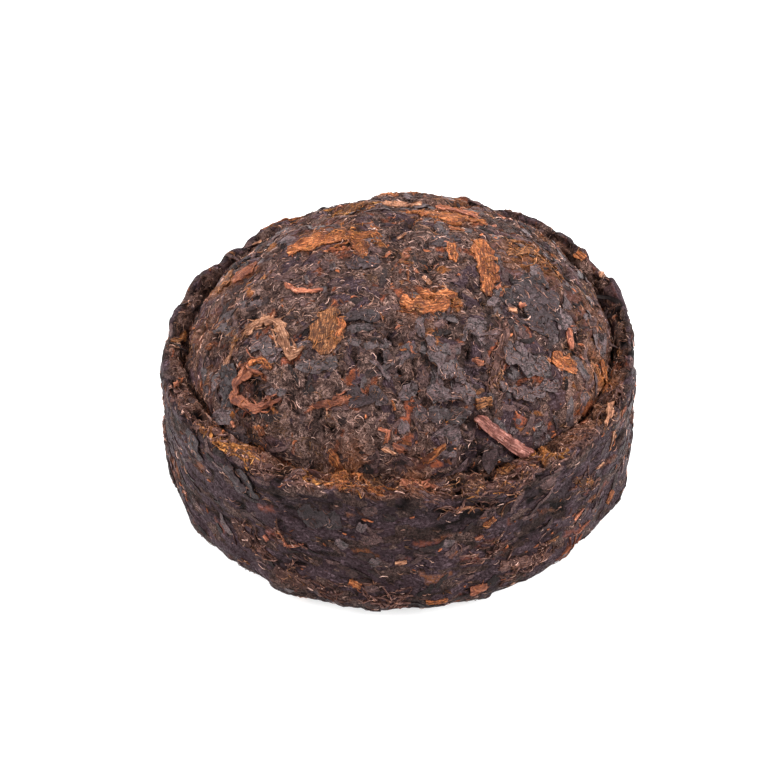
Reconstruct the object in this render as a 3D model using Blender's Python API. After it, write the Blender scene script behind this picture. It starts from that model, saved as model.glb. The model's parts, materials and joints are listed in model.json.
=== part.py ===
"""A small pressed nest of ripe tea: a drum with a ragged rim, a dome inside the rim and a hollow below.

The nest is one solid. It stands on a flat ring at Z = 0, with its axis on +Z. In plan it is a
little oval, its rim rises and falls, and the groove between rim and dome is shallow at the front
(-Y) and deep at the sides and the back. Pressed leaves are low overlapping relief, and the thickest
leaves and stalks are fused onto it. Sizes are in millimetres until the mesh is written.
"""

import math

import bmesh
import bpy
import numpy as np

MM = 0.001

# Driving dimensions of the nest
RIM_RADIUS = 12.5
BASE_RADIUS = 12.62
RIM_HEIGHT = 8.3
DOME_TOP = 13.75
DOME_BELT = 6.7
HOLLOW_RADIUS = 5.9
HOLLOW_DEPTH = 4.8
LIP_ROUND = 0.5
FOOT_ROUND = 1.6
CREST_ROUND = 0.4

# The rim's flat top and the groove behind it, at the back and as they change towards the front
RIM_WIDTH = 0.85
RIM_WIDTH_FRONT = 0.9
RIM_DROP = 0.2
GROOVE_WIDTH = 0.35
GROOVE_DEPTH = 1.5
GROOVE_DEPTH_FRONT = 0.45
FRONT = math.radians(277)

# How far the pressed drum is from round and level
RIM_OVAL = 0.028
BASE_OVAL = 0.020
RIM_THREE_LOBES = -0.009
BASE_THREE_LOBES = 0.004
BASE_LEAN = 0.1
RIM_WAVE = 0.27
RIM_TILT = 0.12
MIDDLE = (0.08, -0.1)

# Ragged breaks along the rim's crest and the foot's edge
RAGGED_LOBES = range(6, 31)
RIM_RAGGED = 0.09
FOOT_RAGGED = 0.07
# Higher stretches of the crest: azimuth and half-width in degrees, and rise
RIM_BUMPS = ((43, 8, 0.42), (20, 9, 0.3), (130, 10, 0.42), (157, 9, 0.36))

# Low relief of pressed leaves
REFERENCE_AROUND = 180
FLAKES = 560
FLAKE_HALF_LENGTH = (1.3, 2.7)
FLAKE_HALF_WIDTH = (0.55, 1.1)
FLAKE_BEND = 0.12
FLAKE_LEVELS = 0.3
FLAKE_THICKNESS = 0.2
FLAKE_MEAN = 0.33
FLAKE_REACH = 1.4
FLAKE_SEED = 11
RAGGED_SEED = 5

# Thick leaves and stalks that stand proud: places on the dome and rim as (x, y), then width and rise
PROUD_ON_TOP = {
    "stalk": (((3.7, -8.25), (5.3, -8.3), (6.7, -7.8)), 0.75, 0.34),
    "curled_leaf": (((-8.1, -3.2), (-7.2, -3.2), (-6.4, -3.8), (-5.9, -4.9), (-5.1, -5.6)), 0.62, 0.24),
    "broad_leaf": (((-3.9, -3.4), (-3.85, -4.7), (-3.9, -5.9)), 1.5, 0.18),
    "hooked_leaf": (((-7.6, -5.5), (-8.6, -5.8), (-8.4, -6.6), (-7.5, -7.3), (-6.5, -7.4)), 0.8, 0.24),
    "tongue_leaf": (((4.1, 2.6), (4.2, 0.2), (4.35, -1.7)), 1.1, 0.2),
    "back_band": (((0.9, 4.6), (2.7, 4.7), (3.9, 4.6)), 0.75, 0.2),
    "left_band": (((-6.1, 1.7), (-4.5, 2.1), (-2.9, 2.1)), 0.9, 0.2),
    "middle_tuft": (((-0.2, -3.2), (1.1, -3.5), (2.2, -3.1)), 0.85, 0.24),
    "bent_leaf": (((5.2, 2.0), (6.6, 2.5), (7.9, 1.9)), 0.8, 0.2),
    "knob": (((3.5, -7.5), (3.9, -7.3), (4.4, -7.2)), 0.6, 0.36),
    "thin_strip": (((-4.6, -8.2), (-3.3, -8.25), (-2.2, -8.0)), 0.45, 0.2),
    "front_strip": (((0.9, -10.0), (1.5, -9.8), (2.2, -9.2)), 0.45, 0.2),
    "front_tuft": (((-0.1, -10.35), (0.7, -10.3), (1.6, -10.05)), 0.75, 0.24),
    "front_flake": (((1.3, -5.4), (2.4, -6.6), (3.4, -6.6)), 1.3, 0.22),
    "side_flake": (((5.1, -4.9), (6.2, -5.2), (7.5, -4.4)), 1.3, 0.22),
}
# More of them, spread by a seeded rule over the sides, the back and the wall
PROUD_SCATTERED = 24
PROUD_HALF_LENGTH = (1.0, 2.0)
PROUD_WIDTH = (0.6, 1.2)
PROUD_RISE = (0.16, 0.26)
PROUD_SEED = 23
PROUD_RINGS = 5
PROUD_SINK = 0.55
# One ring of a proud leaf: shares of its half width and of its rise, or of its sink below
PROUD_SECTION = ((1, 0), (0.62, 0.85), (-0.62, 0.85), (-1, 0), (-0.6, -1), (0.6, -1))
PROUD_RELIEF = 0.04

# The solid's facets: points round the nest, and the spacing at which a ring drops every other one
AROUND = 96
LEAST_SPACING = 0.5


def steps(low, high, count):
    """Evenly spaced shares from low to high, without the first."""
    return np.linspace(low, high, count + 1)[1:]


def ragged(azimuth, size, seed):
    """A seeded broken edge: a sum of many lobes, with this root mean square size."""
    rng = np.random.default_rng(seed)
    phases = rng.uniform(0, 2 * math.pi, len(RAGGED_LOBES))
    total = sum(
        np.cos(lobe * azimuth + phase) for lobe, phase in zip(RAGGED_LOBES, phases)
    )
    return size * total / math.sqrt(len(RAGGED_LOBES) / 2)


def towards_front(azimuth):
    """1 at the nest's front, falling to 0 at the sides."""
    return np.clip(np.cos(azimuth - FRONT), 0, 1) ** 1.2


def plan_radius(radius, oval, lobes, azimuth):
    """A radius with the drum's oval and three-lobed shape in plan."""
    return radius * (1 + oval * np.sin(2 * azimuth) + lobes * np.sin(3 * azimuth))


def rim_height(azimuth):
    """Height of the rim's crest round the nest."""
    wave = RIM_WAVE * np.sin(2 * azimuth) + RIM_TILT * (np.sin(azimuth) - np.cos(azimuth))
    for middle, half_width, rise in RIM_BUMPS:
        away = np.degrees(np.abs((azimuth - math.radians(middle) + math.pi) % math.tau - math.pi))
        wave = wave + rise * np.clip(1 - (away / half_width) ** 2, 0, 1)
    return RIM_HEIGHT + wave + ragged(azimuth, RIM_RAGGED, RAGGED_SEED)


def outline(azimuth, detail=1):
    """Profiles from the hollow's middle to the dome's top, one row for each azimuth.

    Returns radius, height and relief share, and each station's lean share from base to rim.
    """
    azimuth = np.asarray(azimuth)[:, None]
    front = towards_front(azimuth)
    rim = plan_radius(RIM_RADIUS, RIM_OVAL, RIM_THREE_LOBES, azimuth)
    base = plan_radius(BASE_RADIUS, BASE_OVAL, BASE_THREE_LOBES, azimuth)
    base = base + ragged(azimuth, FOOT_RAGGED, RAGGED_SEED + 1)
    crest = rim_height(azimuth)
    floor = crest - GROOVE_DEPTH + (GROOVE_DEPTH - GROOVE_DEPTH_FRONT) * front
    inner = rim - RIM_WIDTH - RIM_WIDTH_FRONT * front
    rows = []

    def add(radius, height, relief, lean):
        radius, height = np.broadcast_arrays(radius, height)
        relief = np.broadcast_to(relief, radius.shape)
        lean = np.broadcast_to(lean, radius.shape)
        rows.append((radius, height, relief, lean))

    zero = np.zeros_like(azimuth)
    # hollow, a round-cornered cup
    turn = steps(0, math.pi / 2, 8 * detail)
    power = 2 / 3
    cup = HOLLOW_RADIUS * np.sin(turn) ** power + zero
    add(cup, LIP_ROUND + (HOLLOW_DEPTH - LIP_ROUND) * np.cos(turn).clip(0, 1) ** power, 0.5, 0)
    # lip of the hollow
    turn = steps(math.pi, 1.5 * math.pi, 2 * detail)
    lip = HOLLOW_RADIUS + LIP_ROUND + LIP_ROUND * np.cos(turn) + zero
    add(lip, LIP_ROUND + LIP_ROUND * np.sin(turn), 0, 0)
    # flat ring that the nest stands on
    share = steps(0, 1, 4 * detail)
    flat_in = HOLLOW_RADIUS + LIP_ROUND
    add(flat_in + (base - FOOT_ROUND - flat_in) * share, 0 * share, 0, 0)
    # rounded foot
    turn = steps(-math.pi / 2, 0, 3 * detail)
    foot = base - FOOT_ROUND + FOOT_ROUND * np.cos(turn)
    add(foot, FOOT_ROUND + FOOT_ROUND * np.sin(turn), turn / (math.pi / 2) + 1, 0)
    # wall
    share = steps(0, 1, 8 * detail)
    top = crest - CREST_ROUND
    add(base + (rim - base) * share, FOOT_ROUND + (top - FOOT_ROUND) * share, 1, share)
    # outer edge of the rim
    turn = steps(0, math.pi / 2, 2 * detail)
    add(rim - CREST_ROUND * (1 - np.cos(turn)), top + CREST_ROUND * np.sin(turn), 0.8, 1)
    # top of the rim, falling inwards
    share = steps(0, 1, 3 * detail)
    edge = rim - CREST_ROUND
    add(edge + (inner - edge) * share, crest - RIM_DROP * share**2, 0.8, 1)
    # inner wall and floor of the groove
    ease = (1 - np.cos(math.pi * share)) / 2
    deep = inner - GROOVE_WIDTH * share
    add(deep, crest - RIM_DROP + (floor - crest + RIM_DROP) * ease, 0.35, 1)
    # dome, an elliptical cap from the floor of the groove
    rise = DOME_TOP - DOME_BELT
    start = np.arcsin(np.clip((floor - DOME_BELT) / rise, -0.9, 0.9))
    belt = (inner - GROOVE_WIDTH) / np.cos(start)
    turn = start + (math.pi / 2 - start) * steps(0, 1, 15 * detail)[:-1]
    share = steps(0, 1, 15 * detail)[:-1] + zero
    add(belt * np.cos(turn), DOME_BELT + rise * np.sin(turn), 0.35 + 0.65 * share**0.3, 1)
    return [np.concatenate(part, axis=1) for part in zip(*rows)]


def base_grid(around, detail=1):
    """Points and normals of the plain nest, and relief shares, on a grid of azimuth by station."""
    azimuth = np.arange(around) * 2 * math.pi / around
    radius, height, relief, lean = outline(azimuth, detail)
    points = np.empty(radius.shape + (3,))
    points[..., 0] = radius * np.cos(azimuth)[:, None] + BASE_LEAN * (1 - lean) - MIDDLE[0]
    points[..., 1] = radius * np.sin(azimuth)[:, None] - MIDDLE[1]
    points[..., 2] = height
    along = np.gradient(points, axis=1)
    across = np.roll(points, -1, axis=0) - np.roll(points, 1, axis=0)
    normals = np.cross(across, along)
    normals /= np.linalg.norm(normals, axis=2, keepdims=True)
    return points, normals, relief


class Flakes:
    """Seeded leaves pressed flat into the surface, each a bent oval with its own level."""

    def __init__(self, count, seed):
        """Roots the leaves evenly over the nest's surface."""
        points, normals, _ = base_grid(REFERENCE_AROUND)
        around = np.roll(points, -1, axis=0) - points
        along = np.gradient(points, axis=1)
        area = np.linalg.norm(np.cross(around, along), axis=2).ravel()
        rng = np.random.default_rng(seed)
        picked = rng.choice(area.size, count, replace=False, p=area / area.sum())
        self.centre = points.reshape(-1, 3)[picked]
        self.normal = normals.reshape(-1, 3)[picked]
        side = around.reshape(-1, 3)[picked]
        side /= np.linalg.norm(side, axis=1, keepdims=True)
        other = np.cross(self.normal, side)
        heading = rng.uniform(-math.pi / 2, math.pi / 2, count)
        # leaves on the wall were smeared round it as it was pressed
        heading *= np.where(np.abs(self.normal[:, 2]) < 0.4, 0.45, 1.0)
        turn = heading[:, None]
        self.length_way = side * np.cos(turn) + other * np.sin(turn)
        self.width_way = np.cross(self.normal, self.length_way)
        self.half_length = rng.uniform(*FLAKE_HALF_LENGTH, count)
        self.half_width = rng.uniform(*FLAKE_HALF_WIDTH, count)
        self.bend = rng.uniform(-FLAKE_BEND, FLAKE_BEND, count)
        self.level = rng.uniform(0, FLAKE_LEVELS, count)

    def height(self, points, normals):
        """Relief at these points: the top of the highest leaf there, and 0 in the cracks between."""
        top = np.zeros(len(points))
        for index in range(len(self.centre)):
            offset = points - self.centre[index]
            near = np.abs(offset).max(axis=1) < self.half_length[index]
            near &= normals @ self.normal[index] > 0.3
            offset = offset[near]
            if not len(offset):
                continue
            along = offset @ self.length_way[index]
            across = offset @ self.width_way[index] - self.bend[index] * along**2
            span = np.abs(along / self.half_length[index]) ** 3
            span += np.abs(across / self.half_width[index]) ** 3
            inside = (span < 1) & (np.abs(offset @ self.normal[index]) < FLAKE_REACH)
            body = FLAKE_THICKNESS * np.sqrt(np.where(inside, 1 - span, 0))
            leaf = np.where(inside, self.level[index] + body, 0)
            top[near] = np.maximum(top[near], leaf)
        return top


def ring_strides(points):
    """How many grid azimuths each ring of points skips, so that facets stay even towards the axis."""
    around = len(points)
    gaps = np.linalg.norm(points - np.roll(points, 1, axis=0), axis=2).mean(axis=0)
    strides = []
    for gap in gaps:
        stride = 1
        while gap * stride < LEAST_SPACING and around % (stride * 2) == 0:
            stride *= 2
        strides.append(stride)
    return strides


def ring_faces(around, stations, strides):
    """Faces between neighbouring rings, where one ring may have every other point of the next."""
    faces = []

    def vertex(azimuth, station):
        return azimuth % around * stations + station

    for j in range(stations - 1):
        fine, coarse = min(strides[j], strides[j + 1]), max(strides[j], strides[j + 1])
        inner_is_fine = strides[j] == fine
        for i in range(0, around, coarse):
            near, far = (j, j + 1) if inner_is_fine else (j + 1, j)
            edge = [vertex(i + step, near) for step in range(0, coarse + 1, fine)]
            face = [vertex(i, far), *edge, vertex(i + coarse, far)]
            middle = len(edge) // 2
            if len(edge) == 2:
                faces.append(face)
                continue
            faces += [(face[0], a, b) for a, b in zip(edge[:middle], edge[1 : middle + 1])]
            faces.append((face[0], edge[middle], face[-1]))
            faces += [(face[-1], a, b) for a, b in zip(edge[middle:-1], edge[middle + 1 :])]
    return faces


def nest_mesh(name):
    """The nest's closed mesh: the grid with its relief, capped at the hollow's middle and the dome's top."""
    points, normals, relief = base_grid(AROUND)
    around, stations = relief.shape
    strides = ring_strides(points)
    flat_points, flat_normals = points.reshape(-1, 3), normals.reshape(-1, 3)
    height = Flakes(FLAKES, FLAKE_SEED).height(flat_points, flat_normals) - FLAKE_MEAN
    solid = flat_points + flat_normals * (height * relief.ravel())[:, None]
    solid[:, 2] = np.maximum(solid[:, 2], 0)
    first = [BASE_LEAN - MIDDLE[0], -MIDDLE[1], HOLLOW_DEPTH]
    last = [-MIDDLE[0], -MIDDLE[1], DOME_TOP]
    shape = bmesh.new()
    corners = [shape.verts.new(co * MM) for co in (*solid, np.array(first), np.array(last))]
    for face in ring_faces(around, stations, strides):
        shape.faces.new([corners[index] for index in face])
    for station, pole in ((0, corners[-2]), (stations - 1, corners[-1])):
        ring = corners[station : len(solid) : stations][:: strides[station]]
        for one, other in zip(ring, ring[1:] + ring[:1]):
            shape.faces.new((pole, one, other))
    unused = [corner for corner in shape.verts if not corner.link_faces]
    bmesh.ops.delete(shape, geom=unused, context="VERTS")
    bmesh.ops.triangulate(shape, faces=shape.faces)
    bmesh.ops.recalc_face_normals(shape, faces=shape.faces)
    mesh = bpy.data.meshes.new(name)
    shape.to_mesh(mesh)
    shape.free()
    return mesh


def surface_lookup():
    """Points, outward normals and top-side mask of the plain nest, close enough together to look up."""
    points, normals, _ = base_grid(REFERENCE_AROUND * 2, 2)
    crest = int(np.argmax(points[..., 2].mean(axis=0) > RIM_HEIGHT - CREST_ROUND))
    top_side = np.zeros(points.shape[:2], bool)
    top_side[:, crest:] = True
    return points.reshape(-1, 3), normals.reshape(-1, 3), top_side.ravel()


def smooth_route(places, count):
    """Points along a smooth curve through the given places, by Catmull-Rom pieces."""
    places = np.array(places, float)
    padded = np.vstack([2 * places[0] - places[1], places, 2 * places[-1] - places[-2]])
    route = []
    for at in np.linspace(0, len(places) - 1, count):
        index = min(int(at), len(places) - 2)
        share = at - index
        before, start, end, after = padded[index : index + 4]
        route.append(
            start
            + 0.5 * share * (end - before)
            + share**2 * (before - 2.5 * start + 2 * end - 0.5 * after)
            + share**3 * (1.5 * start - 0.5 * before - 1.5 * end + 0.5 * after)
        )
    return np.array(route)


def proud_leaf(name, route, normals, width, rise):
    """A thick leaf or stalk along a route on the nest, half sunk in it, as a closed mesh."""
    shape = bmesh.new()
    ahead = np.gradient(route, axis=0)
    ahead /= np.linalg.norm(ahead, axis=1, keepdims=True)
    side = np.cross(normals, ahead)
    side /= np.linalg.norm(side, axis=1, keepdims=True)
    rings = []
    for index in range(1, len(route) - 1):
        share = 2 * index / (len(route) - 1) - 1
        taper = math.sqrt(1 - share**4)
        ring = []
        for across, up in PROUD_SECTION:
            lift = PROUD_RELIEF + up * rise * taper if up >= 0 else up * PROUD_SINK
            corner = route[index] + side[index] * across * taper * width / 2 + normals[index] * lift
            ring.append(shape.verts.new(corner * MM))
        rings.append(ring)
    for ring, other in zip(rings, rings[1:]):
        for index in range(len(ring)):
            after = (index + 1) % len(ring)
            shape.faces.new((ring[index], ring[after], other[after], other[index]))
    for ring, tip in ((rings[0], route[0]), (rings[-1], route[-1])):
        normal = normals[0] if tip is route[0] else normals[-1]
        point = shape.verts.new((tip - normal * PROUD_SINK / 3) * MM)
        for index in range(len(ring)):
            shape.faces.new((ring[index], ring[(index + 1) % len(ring)], point))
    bmesh.ops.triangulate(shape, faces=shape.faces)
    bmesh.ops.recalc_face_normals(shape, faces=shape.faces)
    mesh = bpy.data.meshes.new(name)
    shape.to_mesh(mesh)
    shape.free()
    return bpy.data.objects.new(name, mesh)


def leaves_on_top():
    """The proud leaves and stalks of the dome and the rim, each from its named places."""
    points, normals, top_side = surface_lookup()
    points, normals = points[top_side], normals[top_side]
    leaves = []
    for name, (places, width, rise) in PROUD_ON_TOP.items():
        flat = smooth_route(places, PROUD_RINGS + 2)
        nearest = [int(np.argmin(np.hypot(*(points[:, :2] - place).T))) for place in flat]
        route = points[nearest]
        route[:, :2] = flat
        leaves.append(proud_leaf(name, route, normals[nearest], width, rise))
    return leaves


def scattered_leaves():
    """Proud leaves spread over the sides, the back and the wall, each bent a little."""
    points, normals, _ = surface_lookup()
    rng = np.random.default_rng(PROUD_SEED)
    behind = points[:, 1] > 2
    from_axis = np.hypot(*points[:, :2].T)
    on_wall = (from_axis > RIM_RADIUS - 1) & (points[:, 2] > 2.2) & (points[:, 2] < RIM_HEIGHT - 1)
    on_dome = (points[:, 2] > RIM_HEIGHT) & (from_axis < RIM_RADIUS - 3) & behind
    leaves = []
    for number in range(PROUD_SCATTERED):
        allowed = np.flatnonzero(on_dome if number % 2 else on_wall)
        centre = rng.choice(allowed)
        half_length = rng.uniform(*PROUD_HALF_LENGTH)
        heading = rng.uniform(-math.pi, math.pi) * (1 if number % 2 else 0.12)
        bend = rng.uniform(-0.12, 0.12)
        normal = normals[centre]
        level = np.cross((0, 0, 1), normal)
        level /= np.linalg.norm(level)
        ahead = level * math.cos(heading) + np.cross(normal, level) * math.sin(heading)
        across = np.cross(normal, ahead)
        route, route_normals = [], []
        for share in np.linspace(-1, 1, PROUD_RINGS + 2):
            place = points[centre] + ahead * share * half_length + across * bend * (share * half_length) ** 2
            nearest = np.argmin(np.linalg.norm(points - place, axis=1))
            off = (place - points[nearest]) @ normals[nearest]
            route.append(place - off * normals[nearest])
            route_normals.append(normals[nearest])
        width, rise = rng.uniform(*PROUD_WIDTH), rng.uniform(*PROUD_RISE)
        leaves.append(
            proud_leaf(f"leaf_{number}", np.array(route), np.array(route_normals), width, rise)
        )
    return leaves


def tea_material():
    """Dark ripe tea, dull with a slight sheen."""
    material = bpy.data.materials.new("pressed_tea")
    material.use_nodes = True
    shader = material.node_tree.nodes["Principled BSDF"]
    shader.inputs["Base Color"].default_value = (0.085, 0.045, 0.032, 1)
    shader.inputs["Roughness"].default_value = 0.62
    shader.inputs["Metallic"].default_value = 0
    return material


def clear_scene():
    """Removes whatever the scene starts with."""
    for old in list(bpy.data.objects):
        bpy.data.objects.remove(old)


def keep_outer_skin(mesh):
    """Drops every shell but the largest: hollows that fusing sealed, and loose scraps."""
    shape = bmesh.new()
    shape.from_mesh(mesh)
    left = set(shape.verts)
    shells = []
    while left:
        shell, growing = set(), [left.pop()]
        while growing:
            corner = growing.pop()
            shell.add(corner)
            for edge in corner.link_edges:
                other = edge.other_vert(corner)
                if other in left:
                    left.remove(other)
                    growing.append(other)
        shells.append(shell)
    shells.sort(key=len)
    scraps = [corner for shell in shells[:-1] for corner in shell]
    bmesh.ops.delete(shape, geom=scraps, context="VERTS")
    bmesh.ops.triangulate(shape, faces=shape.faces)
    shape.to_mesh(mesh)
    shape.free()


def fuse(nest, leaves):
    """Joins the leaves to the nest by one union, applies it and removes them."""
    proud = bpy.data.collections.new("proud_leaves")
    bpy.context.scene.collection.children.link(proud)
    for leaf in leaves:
        proud.objects.link(leaf)
    union = nest.modifiers.new("union", "BOOLEAN")
    union.operation = "UNION"
    union.operand_type = "COLLECTION"
    union.collection = proud
    # the exact solver leaves edges with four faces where a leaf's skin grazes the nest's
    union.solver = "MANIFOLD"
    fused = bpy.data.meshes.new_from_object(nest.evaluated_get(bpy.context.evaluated_depsgraph_get()))
    nest.modifiers.remove(union)
    keep_outer_skin(fused)
    nest.data = fused
    for leaf in leaves:
        bpy.data.objects.remove(leaf)
    bpy.data.collections.remove(proud)


def make_nest():
    """The whole nest as one object."""
    nest = bpy.data.objects.new("tea_nest", nest_mesh("tea_nest"))
    bpy.context.scene.collection.objects.link(nest)
    fuse(nest, leaves_on_top() + scattered_leaves())
    mesh = nest.data
    mesh.name = nest.name
    mesh.materials.clear()
    mesh.materials.append(tea_material())
    mesh.shade_smooth()
    mesh.set_sharp_from_angle(angle=math.radians(40))
    return nest


clear_scene()
make_nest()
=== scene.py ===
"""Looks of a small pressed nest of ripe tea: a drum with a ragged rim and a dome of matted leaves.

The nest's own form repeats the solid's values at finer detail. Leaves, stalks and strands lie where
the real nest shows them, and shreds, scales, bits and fine hairs are scattered between them by
seeded rules. Places and sizes are in millimetres unless a comment says otherwise.
"""

import json
import logging
import math
from collections.abc import Sequence
from dataclasses import dataclass, replace
from enum import Enum, IntEnum

import bpy
import numpy as np
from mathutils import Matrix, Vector
from mathutils.bvhtree import BVHTree
from mathutils.kdtree import KDTree

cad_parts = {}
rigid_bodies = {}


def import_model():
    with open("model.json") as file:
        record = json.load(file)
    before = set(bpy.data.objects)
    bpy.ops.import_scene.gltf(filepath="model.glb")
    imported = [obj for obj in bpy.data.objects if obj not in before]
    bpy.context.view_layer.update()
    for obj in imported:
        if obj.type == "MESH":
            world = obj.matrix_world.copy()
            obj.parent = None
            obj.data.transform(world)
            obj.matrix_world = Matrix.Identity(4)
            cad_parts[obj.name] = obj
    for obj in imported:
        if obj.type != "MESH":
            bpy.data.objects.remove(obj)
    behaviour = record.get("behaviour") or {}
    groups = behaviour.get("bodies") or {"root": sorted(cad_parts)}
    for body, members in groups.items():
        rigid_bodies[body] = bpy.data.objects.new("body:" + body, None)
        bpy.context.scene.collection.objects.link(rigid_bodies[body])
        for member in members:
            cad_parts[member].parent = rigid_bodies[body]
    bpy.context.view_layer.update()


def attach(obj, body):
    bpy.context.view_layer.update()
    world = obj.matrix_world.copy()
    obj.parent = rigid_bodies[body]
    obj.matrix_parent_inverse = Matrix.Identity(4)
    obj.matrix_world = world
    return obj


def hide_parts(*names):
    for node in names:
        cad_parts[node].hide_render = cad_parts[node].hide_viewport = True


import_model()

logging.basicConfig(level=logging.INFO, format="%(message)s")
log = logging.getLogger("tea nest")

MM = 0.001
NODE = "tea_nest"
BODY = "root"

Colour = tuple[float, float, float, float]
Pair = tuple[float, float]
Array = np.ndarray
Numbers = Array | float
Thing = bpy.types.Object
Material = bpy.types.Material
Socket = bpy.types.NodeSocket
Value = Socket | float | tuple[float, ...]


class Zone(IntEnum):
    """Stretches of the nest's profile, from the middle of the hollow to the top of the dome."""

    HOLLOW = 0
    FLAT = 1
    FOOT = 2
    WALL = 3
    RIM = 4
    GROOVE = 5
    DOME = 6


@dataclass(frozen=True)
class Stations:
    """How many steps each stretch of the profile has. The default is the solid's own count."""

    hollow: int = 8
    lip: int = 2
    flat: int = 4
    foot: int = 3
    wall: int = 8
    edge: int = 2
    rim: int = 3
    groove: int = 3
    dome: int = 15


@dataclass(frozen=True)
class Grid:
    """The plain nest on a grid of azimuth by station, in millimetres."""

    points: Array
    normals: Array
    relief: Array
    zones: Array


def write_attribute(mesh: bpy.types.Mesh, name: str, values: Array) -> None:
    """Stores one number for each point of a mesh."""
    mesh.attributes.new(name, "FLOAT", "POINT").data.foreach_set("value", values.astype(np.float32))


def write_grain(mesh: bpy.types.Mesh, places: Array) -> None:
    """Stores each point's place along and across its leaf, and the leaf's own number."""
    data = mesh.attributes.new("grain", "FLOAT_VECTOR", "POINT").data
    data.foreach_set("vector", places.astype(np.float32).ravel())


def linked(name: str, data: bpy.types.ID) -> Thing:
    """A new object in the scene."""
    made = bpy.data.objects.new(name, data)
    bpy.context.scene.collection.objects.link(made)
    return made


class Profile:
    """Stretches of the nest's profile, gathered from the middle of the hollow to the dome's top."""

    def __init__(self) -> None:
        """Starts with no stations."""
        self.rows: list[tuple[Array, ...]] = []
        self.zones: list[int] = []

    def add(
        self, zone: Zone, radius: Numbers, height: Numbers, relief: Numbers, lean: Numbers
    ) -> None:
        """Adds one stretch.

        Args:
            zone: which stretch it is.
            radius: distances from the axis, azimuth by station.
            height: heights over the floor.
            relief: how much of the leaves' relief shows there.
            lean: how far up the wall it is, 0 at the foot and 1 at the rim.
        """
        radius, height = np.broadcast_arrays(radius, height)
        relief, lean = (np.broadcast_to(share, radius.shape) for share in (relief, lean))
        self.rows.append((radius, height, relief, lean))
        self.zones.extend([int(zone)] * radius.shape[1])

    def joined(self) -> list[Array]:
        """Radius, height, relief and lean along the whole profile."""
        return [np.concatenate(part, axis=1) for part in zip(*self.rows)]


def steps(low: float, high: float, count: int) -> Array:
    """Even steps from low to high, with low itself left out."""
    return np.linspace(low, high, count + 1)[1:]


def unit(vectors: Array) -> Array:
    """The same directions at length 1."""
    return vectors / np.linalg.norm(vectors, axis=-1, keepdims=True)


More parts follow.
